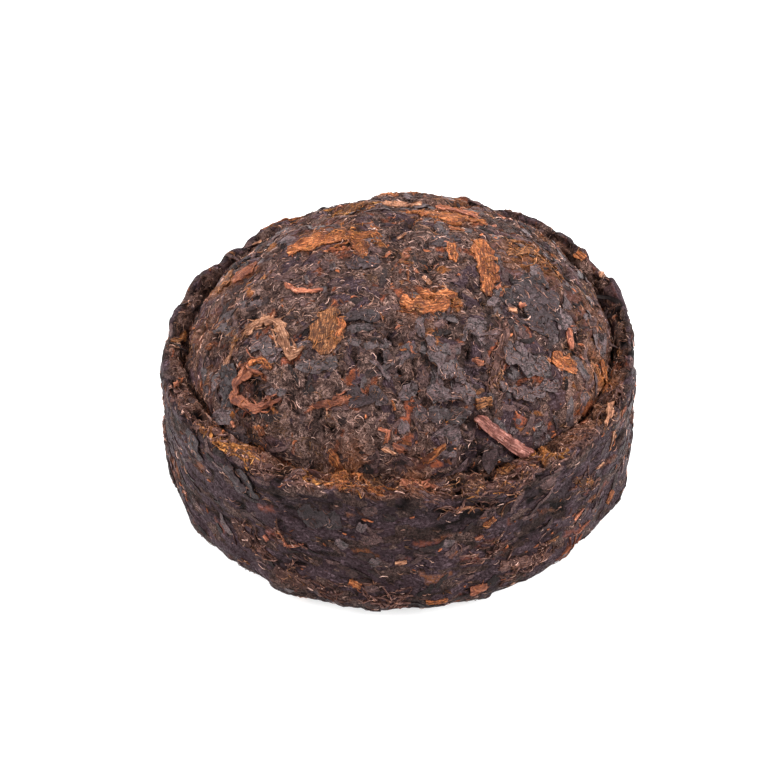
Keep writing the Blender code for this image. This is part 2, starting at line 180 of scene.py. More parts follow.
@dataclass(frozen=True)
class NestShape:
    """The pressed drum, its rim, groove, dome and hollow, in millimetres and radians."""

    rim_radius: float = 12.5
    base_radius: float = 12.62
    rim_height: float = 8.3
    dome_top: float = 13.75
    dome_belt: float = 6.7
    hollow_radius: float = 5.9
    hollow_depth: float = 4.8
    lip_round: float = 0.5
    foot_round: float = 1.6
    crest_round: float = 0.4
    rim_width: float = 0.85
    rim_width_front: float = 0.9
    rim_drop: float = 0.2
    groove_width: float = 0.35
    groove_depth: float = 1.5
    groove_depth_front: float = 0.28
    front: float = math.radians(277)
    rim_oval: float = 0.028
    base_oval: float = 0.020
    rim_three_lobes: float = -0.009
    base_three_lobes: float = 0.004
    base_lean: float = 0.1
    rim_wave: float = 0.27
    rim_tilt: float = 0.12
    middle: Pair = (0.08, -0.1)
    front_falloff: float = 1.2
    hollow_power: float = 2 / 3
    hollow_relief: float = 0.5
    edge_relief: float = 0.8
    groove_relief: float = 0.35
    dome_relief_ease: float = 0.3
    ragged_lobes: range = range(6, 31)
    rim_ragged: float = 0.09
    foot_ragged: float = 0.07
    ragged_seed: int = 5
    rim_bumps: tuple[tuple[float, float, float], ...] = (
        (43, 8, 0.42),
        (20, 9, 0.3),
        (130, 10, 0.42),
        (157, 9, 0.36),
    )

    def ragged(self, azimuth: Array, size: float, seed: int, lobes: range | None = None) -> Array:
        """A seeded broken edge.

        Args:
            azimuth: where round the nest.
            size: root mean square of the edge's rise and fall.
            seed: which edge it is.
            lobes: how many waves go round the nest, from the broadest to the finest.

        Returns:
            The rise at each azimuth.
        """
        lobes = lobes or self.ragged_lobes
        phases = np.random.default_rng(seed).uniform(0, 2 * math.pi, len(lobes))
        total = sum(np.cos(lobe * azimuth + phase) for lobe, phase in zip(lobes, phases))
        return size * total / math.sqrt(len(lobes) / 2)

    def crest(self, azimuth: Array) -> Array:
        """Height of the rim's crest.

        Args:
            azimuth: where round the nest.

        Returns:
            The height at each azimuth.
        """
        wave = self.rim_wave * np.sin(2 * azimuth)
        wave = wave + self.rim_tilt * (np.sin(azimuth) - np.cos(azimuth))
        for middle, half_width, rise in self.rim_bumps:
            turn = (azimuth - math.radians(middle) + math.pi) % math.tau - math.pi
            wave = wave + rise * np.clip(1 - (np.degrees(np.abs(turn)) / half_width) ** 2, 0, 1)
        return self.rim_height + wave + self.ragged(azimuth, self.rim_ragged, self.ragged_seed)

    def grid(self, around: int, stations: Stations) -> Grid:
        """The plain nest's surface.

        Args:
            around: how many azimuths.
            stations: how many steps each stretch of the profile has.

        Returns:
            Points, outward normals, relief shares and each station's zone.
        """
        azimuth = (np.arange(around) * 2 * math.pi / around)[:, None]
        front = np.clip(np.cos(azimuth - self.front), 0, 1) ** self.front_falloff
        oval, lobes = np.sin(2 * azimuth), np.sin(3 * azimuth)
        rim = self.rim_radius * (1 + self.rim_oval * oval + self.rim_three_lobes * lobes)
        base = self.base_radius * (1 + self.base_oval * oval + self.base_three_lobes * lobes)
        base = base + self.ragged(azimuth, self.foot_ragged, self.ragged_seed + 1)
        crest = self.crest(azimuth)
        floor = crest - self.groove_depth + (self.groove_depth - self.groove_depth_front) * front
        inner = rim - self.rim_width - self.rim_width_front * front
        profile = Profile()
        add = profile.add
        zero = np.zeros_like(azimuth)
        turn = steps(0, math.pi / 2, stations.hollow)
        power = self.hollow_power
        lip = self.lip_round
        height = lip + (self.hollow_depth - lip) * np.cos(turn).clip(0, 1) ** power
        radius = self.hollow_radius * np.sin(turn) ** power + zero
        add(Zone.HOLLOW, radius, height, self.hollow_relief, 0)
        turn = steps(math.pi, 1.5 * math.pi, stations.lip)
        radius = self.hollow_radius + lip + lip * np.cos(turn) + zero
        add(Zone.FLAT, radius, lip + lip * np.sin(turn), 0, 0)
        share = steps(0, 1, stations.flat)
        flat_in = self.hollow_radius + lip
        add(Zone.FLAT, flat_in + (base - self.foot_round - flat_in) * share, 0 * share, 0, 0)
        turn = steps(-math.pi / 2, 0, stations.foot)
        radius = base - self.foot_round * (1 - np.cos(turn))
        height = self.foot_round * (1 + np.sin(turn))
        add(Zone.FOOT, radius, height, turn / (math.pi / 2) + 1, 0)
        share = steps(0, 1, stations.wall)
        top = crest - self.crest_round
        height = self.foot_round + (top - self.foot_round) * share
        add(Zone.WALL, base + (rim - base) * share, height, 1, share)
        turn = steps(0, math.pi / 2, stations.edge)
        radius = rim - self.crest_round * (1 - np.cos(turn))
        add(Zone.WALL, radius, top + self.crest_round * np.sin(turn), self.edge_relief, 1)
        share = steps(0, 1, stations.rim)
        edge = rim - self.crest_round
        height = crest - self.rim_drop * share**2
        add(Zone.RIM, edge + (inner - edge) * share, height, self.edge_relief, 1)
        share = steps(0, 1, stations.groove)
        ease = (1 - np.cos(math.pi * share)) / 2
        height = crest - self.rim_drop + (floor - crest + self.rim_drop) * ease
        add(Zone.GROOVE, inner - self.groove_width * share, height, self.groove_relief, 1)
        rise = self.dome_top - self.dome_belt
        start = np.arcsin(np.clip((floor - self.dome_belt) / rise, -0.9, 0.9))
        belt = (inner - self.groove_width) / np.cos(start)
        share = steps(0, 1, stations.dome)[:-1] + zero
        turn = start + (math.pi / 2 - start) * share
        relief = self.groove_relief + (1 - self.groove_relief) * share**self.dome_relief_ease
        add(Zone.DOME, belt * np.cos(turn), self.dome_belt + rise * np.sin(turn), relief, 1)

        radius, height, relief, lean = profile.joined()
        points = np.empty(radius.shape + (3,))
        points[..., 0] = radius * np.cos(azimuth) + self.base_lean * (1 - lean) - self.middle[0]
        points[..., 1] = radius * np.sin(azimuth) - self.middle[1]
        points[..., 2] = height
        across = np.roll(points, -1, axis=0) - np.roll(points, 1, axis=0)
        normals = unit(np.cross(across, np.gradient(points, axis=1)))
        return Grid(points, normals, relief, np.array(profile.zones))

    def poles(self) -> Array:
        """The middle of the hollow and the top of the dome."""
        x, y = -self.middle[0], -self.middle[1]
        return np.array([[x + self.base_lean, y, self.hollow_depth], [x, y, self.dome_top]])


@dataclass(frozen=True)
class LeafLayer:
    """A layer of leaves pressed flat into the surface, each a bent oval with its own level."""

    count: int
    half_length: Pair
    half_width: Pair
    bend: float
    levels: float
    thickness: float
    mean: float
    reach: float
    seed: int
    root_around: int = 180
    wall_slope: float = 0.4
    wall_turn: float = 0.45
    scatter: float = 0.0
    tilt: float = 0.0

    def spread(self, shape: NestShape) -> "SpreadLeaves":
        """Roots the leaves evenly over the nest.

        Args:
            shape: the nest they lie on.

        Returns:
            The leaves, each with its place, heading and size.
        """
        grid = shape.grid(self.root_around, Stations())
        points, normals = grid.points, grid.normals
        around = np.roll(points, -1, axis=0) - points
        area = np.linalg.norm(np.cross(around, np.gradient(points, axis=1)), axis=2).ravel()
        rng = np.random.default_rng(self.seed)
        picked = rng.choice(area.size, self.count, replace=self.scatter > 0, p=area / area.sum())
        centre, normal = points.reshape(-1, 3)[picked], normals.reshape(-1, 3)[picked]
        side = unit(around.reshape(-1, 3)[picked])
        other = np.cross(normal, side)
        heading = rng.uniform(-math.pi / 2, math.pi / 2, self.count)
        heading *= np.where(np.abs(normal[:, 2]) < self.wall_slope, self.wall_turn, 1.0)
        turn = heading[:, None]
        length_way = side * np.cos(turn) + other * np.sin(turn)
        half_length = rng.uniform(*self.half_length, self.count)
        half_width = rng.uniform(*self.half_width, self.count)
        bend = rng.uniform(-self.bend, self.bend, self.count)
        level = rng.uniform(0, self.levels, self.count)
        if self.scatter:
            apart = rng.uniform(-self.scatter, self.scatter, (2, self.count, 1))
            centre = centre + side * apart[0] + other * apart[1]
        return SpreadLeaves(
            self, centre, normal, length_way, np.cross(normal, length_way),
            half_length, half_width, bend, level,
        )


@dataclass(frozen=True)
class SpreadLeaves:
    """Leaves with their places, ready to be read as relief."""

    layer: LeafLayer
    centre: Array
    normal: Array
    length_way: Array
    width_way: Array
    half_length: Array
    half_width: Array
    bend: Array
    level: Array
    search_reach: float = 1.2
    least_facing: float = 0.3
    outline_power: int = 3

    def cover(self, points: Array, normals: Array, near: KDTree) -> "Cover":
        """What lies on top at each point.

        Args:
            points: where, in millimetres.
            normals: the surface's normals there.
            near: a search tree of the same points.

        Returns:
            The top leaf's height, its number, and the place along and across it.
        """
        height = np.zeros(len(points))
        top = np.full(len(points), -1)
        grain = np.zeros((len(points), 2))
        for index, centre in enumerate(self.centre):
            found = near.find_range(centre, float(self.half_length[index]) * self.search_reach)
            where = np.fromiter((item[1] for item in found), int, len(found))
            where = where[normals[where] @ self.normal[index] > self.least_facing]
            if not len(where):
                continue
            offset = points[where] - centre
            along = offset @ self.length_way[index]
            across = offset @ self.width_way[index] - self.bend[index] * along**2
            span = np.abs(along / self.half_length[index]) ** self.outline_power
            span += np.abs(across / self.half_width[index]) ** self.outline_power
            inside = (span < 1) & (np.abs(offset @ self.normal[index]) < self.layer.reach)
            body = self.layer.thickness * np.sqrt(np.where(inside, 1 - span, 0))
            body = body * (1 + self.layer.tilt * across / self.half_width[index])
            leaf = np.where(inside, self.level[index] + body, 0)
            higher = leaf > height[where]
            rows = where[higher]
            height[rows] = leaf[higher]
            top[rows] = index
            grain[rows, 0] = along[higher]
            grain[rows, 1] = across[higher]
        return Cover(height, top, grain)


@dataclass(frozen=True)
class Cover:
    """The top leaf at each point: its height, its number (-1 for none) and the place on it."""

    height: Array
    top: Array
    grain: Array


@dataclass(frozen=True)
class Place:
    """A round place on the nest, seen from above, that fades outwards."""

    x: float
    y: float
    radius: float

    def weight(self, points: Array) -> Array:
        """How much each point belongs to the place, from 0 to 1."""
        apart = np.hypot(points[:, 0] - self.x, points[:, 1] - self.y) / self.radius
        return np.exp(-(apart**2))


@dataclass(frozen=True)
class Patch(Place):
    """A stretch of the dome where smooth slate leaves are commoner or rarer than elsewhere."""

    slate: float


@dataclass(frozen=True)
class Tuft(Place):
    """A tuft of golden or rust-red bud fibres matted into the surface."""

    ochre: float
    rust: float


PATCHES = (
    Patch(0.3, -1.0, 3.4, 0.05),
    Patch(4.2, -6.3, 3.6, 0.62),
    Patch(-8.0, -2.5, 3.0, 0.34),
    Patch(-3.2, -9.4, 2.8, 0.06),
    Patch(7.0, 0.2, 2.4, 0.6),
    Patch(-3.0, -4.2, 1.6, 0.4),
    Patch(-5.0, 4.0, 3.0, 0.35),
)

TUFTS = (
    Tuft(-2.9, -10.9, 1, 0.6, 0.45),
    Tuft(-2.4, -10.3, 0.8, 0.5, 0.3),
    Tuft(-8.4, -9.2, 1.3, 0.85, 0.1),
    Tuft(-9.6, -7.8, 0.9, 0.5, 0.2),
    Tuft(1.1, -3.1, 0.9, 0.6, 0.3),
    Tuft(0.9, -10.8, 0.9, 0.5, 0.5),
    Tuft(10.6, -2.4, 1, 0.8, 0.1),
    Tuft(10.4, -5.2, 1.4, 0.5, 0.1),
    Tuft(9, -8, 1.5, 0.35, 0),
    Tuft(9.8, 0.5, 1.5, 0.25, 0.1),
    Tuft(-10.3, -1.2, 1.3, 0.25, 0.15),
    Tuft(-9.9, -4.6, 0.9, 0.2, 0.15),
    Tuft(-9.4, 2, 0.8, 0.8, 0.1),
    Tuft(-8.2, 1.6, 0.6, 0.2, 0.8),
    Tuft(6.6, 2.3, 1.7, 0.55, 0.1),
    Tuft(2.4, 5.3, 1.3, 0.45, 0.4),
    Tuft(-4.2, 3.4, 1.3, 0.35, 0.3),
    Tuft(-4.6, 2.3, 0.8, 0.4, 0.5),
    Tuft(-7.8, -6.3, 0.7, 0.1, 0.3),
    Tuft(-2.7, 5.9, 0.7, 0.7, 0.1),
    Tuft(3, 8, 1.2, 0.5, 0.2),
    Tuft(-6, 7.4, 1.1, 0.4, 0.3),
    Tuft(8, 7.5, 1, 0.5, 0.1),
)


@dataclass(frozen=True)
class PlainSkin:
    """The body's points before their relief, the two poles last, and how the grid gives them."""

    points: Array
    normals: Array
    zones: Array
    relief: Array
    turn: Array
    used: Array
    strides: list[int]
    near: KDTree


@dataclass(frozen=True)
class TeaBody:
    """The pressed body: the nest's form with two layers of leaves in relief, one closed mesh."""

    shape: NestShape = NestShape()
    around: int = 512
    least_spacing: float = 0.085
    stations: Stations = Stations(
        hollow=22, lip=3, flat=12, foot=12, wall=42, edge=6, rim=11, groove=11, dome=96
    )
    broad: LeafLayer = LeafLayer(
        count=560, half_length=(1.3, 2.7), half_width=(0.55, 1.1), bend=0.12,
        levels=0.3, thickness=0.2, mean=0.33, reach=1.4, seed=11,
    )
    fine: LeafLayer = LeafLayer(
        count=7000, half_length=(0.25, 1.1), half_width=(0.1, 0.4), bend=0.4,
        levels=0.09, thickness=0.08, mean=0.1, reach=0.9, seed=12, wall_turn=0.25,
        scatter=0.3, tilt=0.6,
    )
    broad_share: tuple[float, ...] = (1.0, 1.0, 0.9, 0.5, 1.0, 1.0, 1.0)
    fine_share: tuple[float, ...] = (0.6, 0.0, 0.4, 0.5, 2.2, 1.8, 1.2)
    slate_chance: tuple[float, ...] = (0.45, 0.5, 0.6, 0.82, 0.12, 0.1, 0.3)
    fuzz_share: tuple[float, ...] = (0.4, 0.0, 0.15, 0.12, 0.9, 0.7, 1.0)
    shred_share: tuple[float, ...] = (0.8, 0.0, 0.45, 0.32, 0.35, 0.35, 0.8)
    scale_share: tuple[float, ...] = (0.3, 0.0, 0.15, 0.04, 0.0, 0.0, 0.4)
    bit_share: tuple[float, ...] = (0.3, 0.0, 0.3, 0.35, 1.2, 1.0, 1.0)
    warm_share: tuple[float, ...] = (0.3, 0.3, 0.5, 0.4, 1.0, 1.0, 1.0)
    ochre_chance: float = 0.02
    rust_chance: float = 0.03
    rim_ochre: float = 0.3
    rim_rust: float = 0.3
    edge_free: float = 1.3
    pit: float = 0.2
    nick_lobes: range = range(9, 64)
    nick_reach: float = 0.45
    nick_depth: float = 0.14
    nick_start: float = 0.3
    nick_most: float = 1.5
    far_calm: float = 0.5
    usual_slate: float = 0.3
    # How strongly painted shade darkens the low places between fine leaves, between broad leaves,
    # and in the rim's nicks.
    fine_crease_shade: float = 0.65
    broad_crease_shade: float = 0.5
    nick_crease_shade: float = 0.6
    wall_freedom: float = 0.2
    leaf_hue_step: float = 0.37
    seed: int = 31

    def ring_strides(self, points: Array) -> list[int]:
        """How many azimuths each ring skips, so that faces stay even towards the axis.

        Args:
            points: the grid's points, azimuth by station.

        Returns:
            One power of two for each station.
        """
        gaps = np.linalg.norm(points - np.roll(points, 1, axis=0), axis=2).mean(axis=0)
        strides = []
        for gap in gaps:
            stride = 1
            while gap * stride < self.least_spacing and self.around % (stride * 2) == 0:
                stride *= 2
            strides.append(stride)
        return strides

    def ring_faces(self, count: int, strides: Sequence[int]) -> list[tuple[int, ...]]:
        """Faces between neighbouring rings, whose strides may differ.

        Args:
            count: how many stations the profile has.
            strides: how many azimuths each ring skips.

        Returns:
            The faces, as numbers of grid points.
        """
        faces: list[tuple[int, ...]] = []
        for j in range(count - 1):
            fine, coarse = min(strides[j], strides[j + 1]), max(strides[j], strides[j + 1])
            near, far = (j, j + 1) if strides[j] == fine else (j + 1, j)
            for i in range(0, self.around, coarse):
                turns = [(i + step) % self.around * count for step in range(0, coarse + 1, fine)]
                edge = [turn + near for turn in turns]
                start, end = turns[0] + far, turns[-1] + far
                ring = [(start, *edge, end)]
                if len(edge) > 2:
                    middle = len(edge) // 2
                    ring = [(start, a, b) for a, b in zip(edge[:middle], edge[1 : middle + 1])]
                    ring.append((start, edge[middle], end))
                    ring += [(end, a, b) for a, b in zip(edge[middle:-1], edge[middle + 1 :])]
                faces += ring if near == j else [face[::-1] for face in ring]
        return faces

    def tuft_weights(self, skin: PlainSkin) -> tuple[Array, Array]:
        """How golden and how rust-red the fibres are.

        Args:
            skin: the body's points.

        Returns:
            The golden share and the red share at each point, from 0 to 1.
        """
        points, zones = skin.points, skin.zones
        ochre, rust = np.zeros(len(points)), np.zeros(len(points))
        for tuft in TUFTS:
            weight = np.where(zones >= Zone.RIM, tuft.weight(points), 0)
            ochre = np.maximum(ochre, weight * tuft.ochre)
            rust = np.maximum(rust, weight * tuft.rust)
        rim = np.isin(zones, (Zone.RIM, Zone.GROOVE))
        rim = rim * (0.55 + 0.45 * np.cos(skin.turn - self.shape.front))
        patchy = 0.5 + 0.5 * np.sin(skin.turn * 9.0 + 1.3) * np.sin(skin.turn * 23.0)
        golden = rim * self.rim_ochre * patchy
        return np.maximum(ochre, golden), np.maximum(rust, rim * self.rim_rust * (1 - patchy))

    def slate_chances(self, points: Array, zones: Array) -> Array:
        """How likely a leaf is a smooth slate one.

        Args:
            points: where the leaves are rooted.
            zones: the zone of each.

        Returns:
            The chance for each.
        """
        chance = np.array(self.slate_chance)[zones]
        for patch in PATCHES:
            weight = np.where(zones == Zone.DOME, patch.weight(points), 0)
            chance = chance + (patch.slate - chance) * weight
        return chance

    def plain(self) -> PlainSkin:
        """The plain nest's points, thinned towards the axis."""
        grid = self.shape.grid(self.around, self.stations)
        strides = self.ring_strides(grid.points)
        used = np.zeros(grid.relief.shape, bool)
        for station, stride in enumerate(strides):
            used[::stride, station] = True
        used = used.ravel()
        points = np.vstack([grid.points.reshape(-1, 3)[used], self.shape.poles()])
        near = KDTree(len(points))
        for index, point in enumerate(points):
            near.insert(point, index)
        near.balance()
        return PlainSkin(
            points=points,
            normals=np.vstack([grid.normals.reshape(-1, 3)[used], [[0, 0, -1], [0, 0, 1]]]),
            zones=np.append(np.tile(grid.zones, self.around)[used], [Zone.HOLLOW, Zone.DOME]),
            relief=np.append(grid.relief.ravel()[used], [self.shape.hollow_relief, 1.0]),
            turn=np.arctan2(points[:, 1], points[:, 0]),
            used=used,
            strides=strides,
            near=near,
        )

    def edge_nicks(self, skin: PlainSkin) -> tuple[Array, Array]:
        """Small breaks along the rim's outer edge.

        Args:
            skin: the body's points.

        Returns:
            How close each point is to the edge, from 0 to 1, and how deeply the edge is nicked.
        """
        below = (self.shape.crest(skin.turn) - skin.points[:, 2]) / self.nick_reach
        near_edge = np.where(skin.zones == Zone.WALL, np.exp(-(below**2)), 0.0)
        near_edge = np.where(skin.zones == Zone.RIM, 1.0, near_edge)
        wave = self.shape.ragged(skin.turn, 1.0, self.seed, self.nick_lobes)
        return near_edge, np.clip(wave - self.nick_start, 0, self.nick_most)

    def faces(self, skin: PlainSkin) -> list[tuple[int, ...]]:
        """The body's faces, with a fan at each pole.

        Args:
            skin: the body's points.

        Returns:
            The faces, as numbers of the skin's points.
        """
        number = np.cumsum(skin.used) - 1
        count = len(skin.strides)
        faces = [tuple(number[list(face)]) for face in self.ring_faces(count, skin.strides)]
        inner, outer = len(skin.points) - 2, len(skin.points) - 1
        for station, pole in ((0, inner), (count - 1, outer)):
            turns = range(0, self.around, skin.strides[station])
            ring = [int(number[turn * count + station]) for turn in turns]
            pairs = zip(ring, ring[1:] + ring[:1])
            faces += [(pole, b, a) if pole == inner else (pole, a, b) for a, b in pairs]
        return faces

    def leaf_values(self, skin: PlainSkin, leaves: SpreadLeaves, fine: Cover) -> dict[str, Array]:
        """What the top leaf gives each point: its tone, and whether it is slate, ochre or rust.

        Args:
            skin: the body's points.
            leaves: the fine leaves.
            fine: which of them lies on top.

        Returns:
            One number for each point, by name.
        """
        rng = np.random.default_rng(self.seed)
        count = self.fine.count
        bare = fine.top < 0
        tone = rng.uniform(0, 1, count)[fine.top]
        rooted = skin.zones[[skin.near.find(centre)[1] for centre in leaves.centre]]
        smooth = rng.uniform(0, 1, count) < self.slate_chances(leaves.centre, rooted)
        warm = np.array(self.warm_share)[skin.zones] * ~bare
        golden = rng.uniform(0, 1, count) < self.ochre_chance
        red = rng.uniform(0, 1, count) < self.rust_chance
        tufts = self.tuft_weights(skin)
        return {
            "tone": np.where(bare, 0.5, tone),
            "slate": smooth[fine.top] * ~bare * (1 - np.maximum(*tufts)),
            "ochre": np.maximum(golden[fine.top] * warm, tufts[0]),
            "rust": np.maximum(red[fine.top] * warm, tufts[1]),
        }

    def cover_values(self, skin: PlainSkin, slate: Array) -> dict[str, Array]:
        """How densely hairs, shreds, scales and bits lie, and how freely they turn.

        Args:
            skin: the body's points.
            slate: how slate each point is.

        Returns:
            One number for each point, by name.
        """
        zones, height = skin.zones, skin.points[:, 2]
        dome = zones == Zone.DOME
        crowded = self.slate_chances(skin.points, zones) / self.usual_slate
        fuzz = np.array(self.fuzz_share)[zones] * (1 - 0.6 * slate)
        fuzz *= np.where(dome, np.clip(1.25 - 0.45 * crowded, 0.3, 1.0), 1.0)
        fuzz *= 1 - self.far_calm * np.clip((skin.points[:, 1] + 1) / 6, 0, 1)
        facing = np.cos(skin.turn - self.shape.front).clip(0)
        fuzz *= np.where(zones == Zone.GROOVE, 1 + 0.8 * facing, 1)
        scales = np.array(self.scale_share)[zones]
        scales = scales * np.where(dome, np.clip(crowded, 0.2, 3.0) ** 1.6, 1.0)
        clear = dome | (height < self.shape.crest(skin.turn) - self.edge_free)
        return {
            "fuzz": fuzz,
            "shred": np.array(self.shred_share)[zones] * (0.35 + 0.65 * slate),
            "scale": scales * clear,
            "bit": np.array(self.bit_share)[zones],
            "free": np.where(np.isin(zones, (Zone.FOOT, Zone.WALL)), self.wall_freedom, 1.0),
        }

    def build(self) -> Thing:
        """The body with its relief, and attributes that the finishes and the scattering read."""
        skin = self.plain()
        zones = skin.zones
        broad = self.broad.spread(self.shape).cover(skin.points, skin.normals, skin.near)
        leaves = self.fine.spread(self.shape)
        fine = leaves.cover(skin.points, skin.normals, skin.near)
        near_edge, nicks = self.edge_nicks(skin)
        rise = (broad.height - self.broad.mean).clip(-self.pit) * skin.relief
        rise *= np.array(self.broad_share)[zones]
        rise += (fine.height - self.fine.mean) * np.array(self.fine_share)[zones]
        rise -= self.nick_depth * near_edge * nicks
        solid = skin.points + skin.normals * rise[:, None]
        solid[:, 2] = np.maximum(solid[:, 2], 0)

        mesh = bpy.data.meshes.new("tea_body")
        mesh.from_pydata((solid * MM).tolist(), [], self.faces(skin))
        mesh.shade_smooth()
        values = self.leaf_values(skin, leaves, fine)
        values |= self.cover_values(skin, values["slate"])
        # Painted shade: darker where a leaf layer lies low, and in the nicks along the rim's edge.
        crease = np.clip(1 - fine.height / self.fine.levels, 0, 1) * self.fine_crease_shade
        crease += np.clip(1 - broad.height / self.broad.thickness, 0, 1) * self.broad_crease_shade
        values["crease"] = crease + near_edge * np.minimum(nicks, 1) * self.nick_crease_shade
        for name, value in values.items():
            write_attribute(mesh, name, value)
        write_grain(mesh, np.column_stack([fine.grain, fine.top * self.leaf_hue_step]))
        return linked("tea_body", mesh)


class Wiring:
    """Adds nodes to one node tree and joins them."""

    def __init__(self, tree: bpy.types.NodeTree) -> None:
        """Keeps the tree and empties it."""
        self.tree = tree
        tree.nodes.clear()

    def add(
        self, kind: str, inputs: dict[str | int, object] | None = None, **settings: object
    ) -> bpy.types.Node:
        """A node with its settings, and its inputs joined or set.

        Args:
            kind: the node's type.
            inputs: socket name or number to a value or another node's output.
            settings: the node's own properties.

        Returns:
            The node.
        """
        node = self.tree.nodes.new(kind)
        for name, value in settings.items():
            setattr(node, name, value)
        for name, value in (inputs or {}).items():
            self.feed(node.inputs[name], value)
        return node

    def feed(self, socket: Socket, value: object) -> None:
        """Gives a socket a value, or links another socket to it."""
        if isinstance(value, Socket):
            self.tree.links.new(value, socket)
        else:
            socket.default_value = value

    def math(self, operation: str, a: Value, b: Value = 0.0, c: Value = 0.0) -> Socket:
        """The result of a math node."""
        return self.add("ShaderNodeMath", {0: a, 1: b, 2: c}, operation=operation).outputs[0]

    def product(self, first: Value, *others: Value) -> Socket:
        """Several values multiplied, from left to right."""
        for other in others:
            first = self.math("MULTIPLY", first, other)
        return first

    def vector(self, operation: str, a: Value, b: Value = (0.0, 0.0, 0.0)) -> Socket:
        """The result of a vector math node."""
        return self.add("ShaderNodeVectorMath", {0: a, 1: b}, operation=operation).outputs[0]

    def mix(self, share: Value, a: Value, b: Value) -> Socket:
        """Two colours mixed by a share."""
        return self.add("ShaderNodeMix", {0: share, 6: a, 7: b}, data_type="RGBA").outputs[2]

    def blend(self, share: Value, a: Value, b: Value) -> Socket:
        """Two numbers mixed by a share."""
        return self.add("ShaderNodeMix", {0: share, 2: a, 3: b}).outputs[0]

    def noise(
        self, place: Value, scale: Value, detail: float = 2.0, roughness: float = 0.5,
        distortion: float = 0.0,
    ) -> Socket:
        """The value of a noise texture at a place, with its finer octaves' share as roughness."""
        inputs = {"Vector": place, "Scale": scale, "Detail": detail,
                  "Roughness": roughness, "Distortion": distortion}
        return self.add("ShaderNodeTexNoise", inputs).outputs["Fac"]

    def span(
        self, value: Value, low: Value, high: Value, to_low: Value = 0.0, to_high: Value = 1.0
    ) -> Socket:
        """A value taken smoothly from one range to another."""
        inputs = {0: value, 1: low, 2: high, 3: to_low, 4: to_high}
        node = self.add("ShaderNodeMapRange", inputs, interpolation_type="SMOOTHSTEP")
        return node.outputs[0]

    def line(self, value: Value, width: Value) -> Socket:
        """A thin line, 1 where a noise crosses its middle value and 0 beyond the width."""
        off = self.math("ABSOLUTE", self.math("SUBTRACT", value, 0.5))
        return self.span(off, 0.0, width, 1.0, 0.0)

    def attribute(self, name: str, output: str = "Fac") -> Socket:
        """One of the mesh's own attributes, in a material."""
        return self.add("ShaderNodeAttribute", attribute_name=name).outputs[output]

    def named(self, name: str) -> Socket:
        """One of the mesh's own attributes, in a geometry tree."""
        node = self.add("GeometryNodeInputNamedAttribute", {"Name": name}, data_type="FLOAT")
        return node.outputs["Attribute"]

    def drawn(self, seed: Value, low: Value, high: Value) -> Socket:
        """A random number for each point, in a geometry tree."""
        inputs = {2: low, 3: high, "Seed": seed}
        return self.add("FunctionNodeRandomValue", inputs, data_type="FLOAT").outputs[1]


def shader_group(
    name: str, inputs: dict[str, float | None], outputs: Sequence[str]
) -> tuple[Wiring, bpy.types.Node, bpy.types.Node]:
    """An empty shader node group with named sockets.

    Args:
        name: the group's name.
        inputs: socket name to its default number, or to None for a vector.
        outputs: names of the number sockets that it puts out.

    Returns:
        The group's wiring, and its input and output nodes.
    """
    group = bpy.data.node_groups.new(name, "ShaderNodeTree")
    for socket, default in inputs.items():
        kind = "NodeSocketVector" if default is None else "NodeSocketFloat"
        made = group.interface.new_socket(socket, in_out="INPUT", socket_type=kind)
        if default is not None:
            made.default_value = default
    for socket in outputs:
        group.interface.new_socket(socket, in_out="OUTPUT", socket_type="NodeSocketFloat")
    wiring = Wiring(group)
    return wiring, wiring.add("NodeGroupInput"), wiring.add("NodeGroupOutput")


class Effects:
    """The shader groups that more than one finish uses."""

    def __init__(self) -> None:
        """Builds each group once."""
        self.fibres = self._fibres()
        self.grain = self._grain()

    @staticmethod
    def _fibres() -> bpy.types.NodeTree:
        """Fine matted fibres: thin curved lines where a stirred noise crosses its middle value."""
        wiring, given, put = shader_group(
            "matted_fibres",
            {"Vector": None, "Scale": 3.0, "Width": 0.05}, ("Fibres", "Lumps"),
        )
        place, scale = given.outputs["Vector"], given.outputs["Scale"]
        stir = wiring.noise(place, 1.1, 2.0).node.outputs["Color"]
        stirred = wiring.vector("MULTIPLY_ADD", stir, (1.3, 1.3, 1.3))
        wiring.feed(stirred.node.inputs[2], place)
        lines: Value = 0.0
        for turn, stretch in enumerate(((1.0, 2.6, 1.3), (2.4, 1.0, 1.7), (1.5, 1.9, 1.0))):
            moved = wiring.vector("MULTIPLY_ADD", stirred, stretch)
            moved.node.inputs[2].default_value = (7.3 * turn, 3.1 * turn, 1.7 * turn)
            line = wiring.line(wiring.noise(moved, scale, 1.0), given.outputs["Width"])
            lines = wiring.math("MAXIMUM", lines, line)
        lumps = wiring.noise(place, wiring.product(scale, 2.2), 3.0, 0.65)
        wiring.feed(put.inputs["Fibres"], lines)
        wiring.feed(put.inputs["Lumps"], lumps)
        return wiring.tree

    @staticmethod
    def _grain() -> bpy.types.NodeTree:
        """Streaks along a leaf, from the place along and across it, in millimetres."""
        wiring, given, put = shader_group(
            "leaf_grain",
            {"Grain": None, "Vector": None, "Along": 1.6, "Across": 15.0}, ("Streaks",),
        )
        apart = wiring.add("ShaderNodeSeparateXYZ", {0: given.outputs["Grain"]}).outputs
        wander = wiring.noise(given.outputs["Vector"], 2.5, 2.0)
        across = wiring.math("MULTIPLY_ADD", wander, 0.12, apart[1])
        along = wiring.product(apart[0], given.outputs["Along"])
        across = wiring.product(across, given.outputs["Across"])
        joined = wiring.add("ShaderNodeCombineXYZ", {0: along, 1: across, 2: apart[2]}).outputs[0]
        wiring.feed(put.inputs["Streaks"], wiring.noise(joined, 1.0, 2.0, 0.6))
        return wiring.tree


def rgb(red: float, green: float, blue: float) -> Colour:
    """A linear colour with full alpha."""
    return (red, green, blue, 1.0)


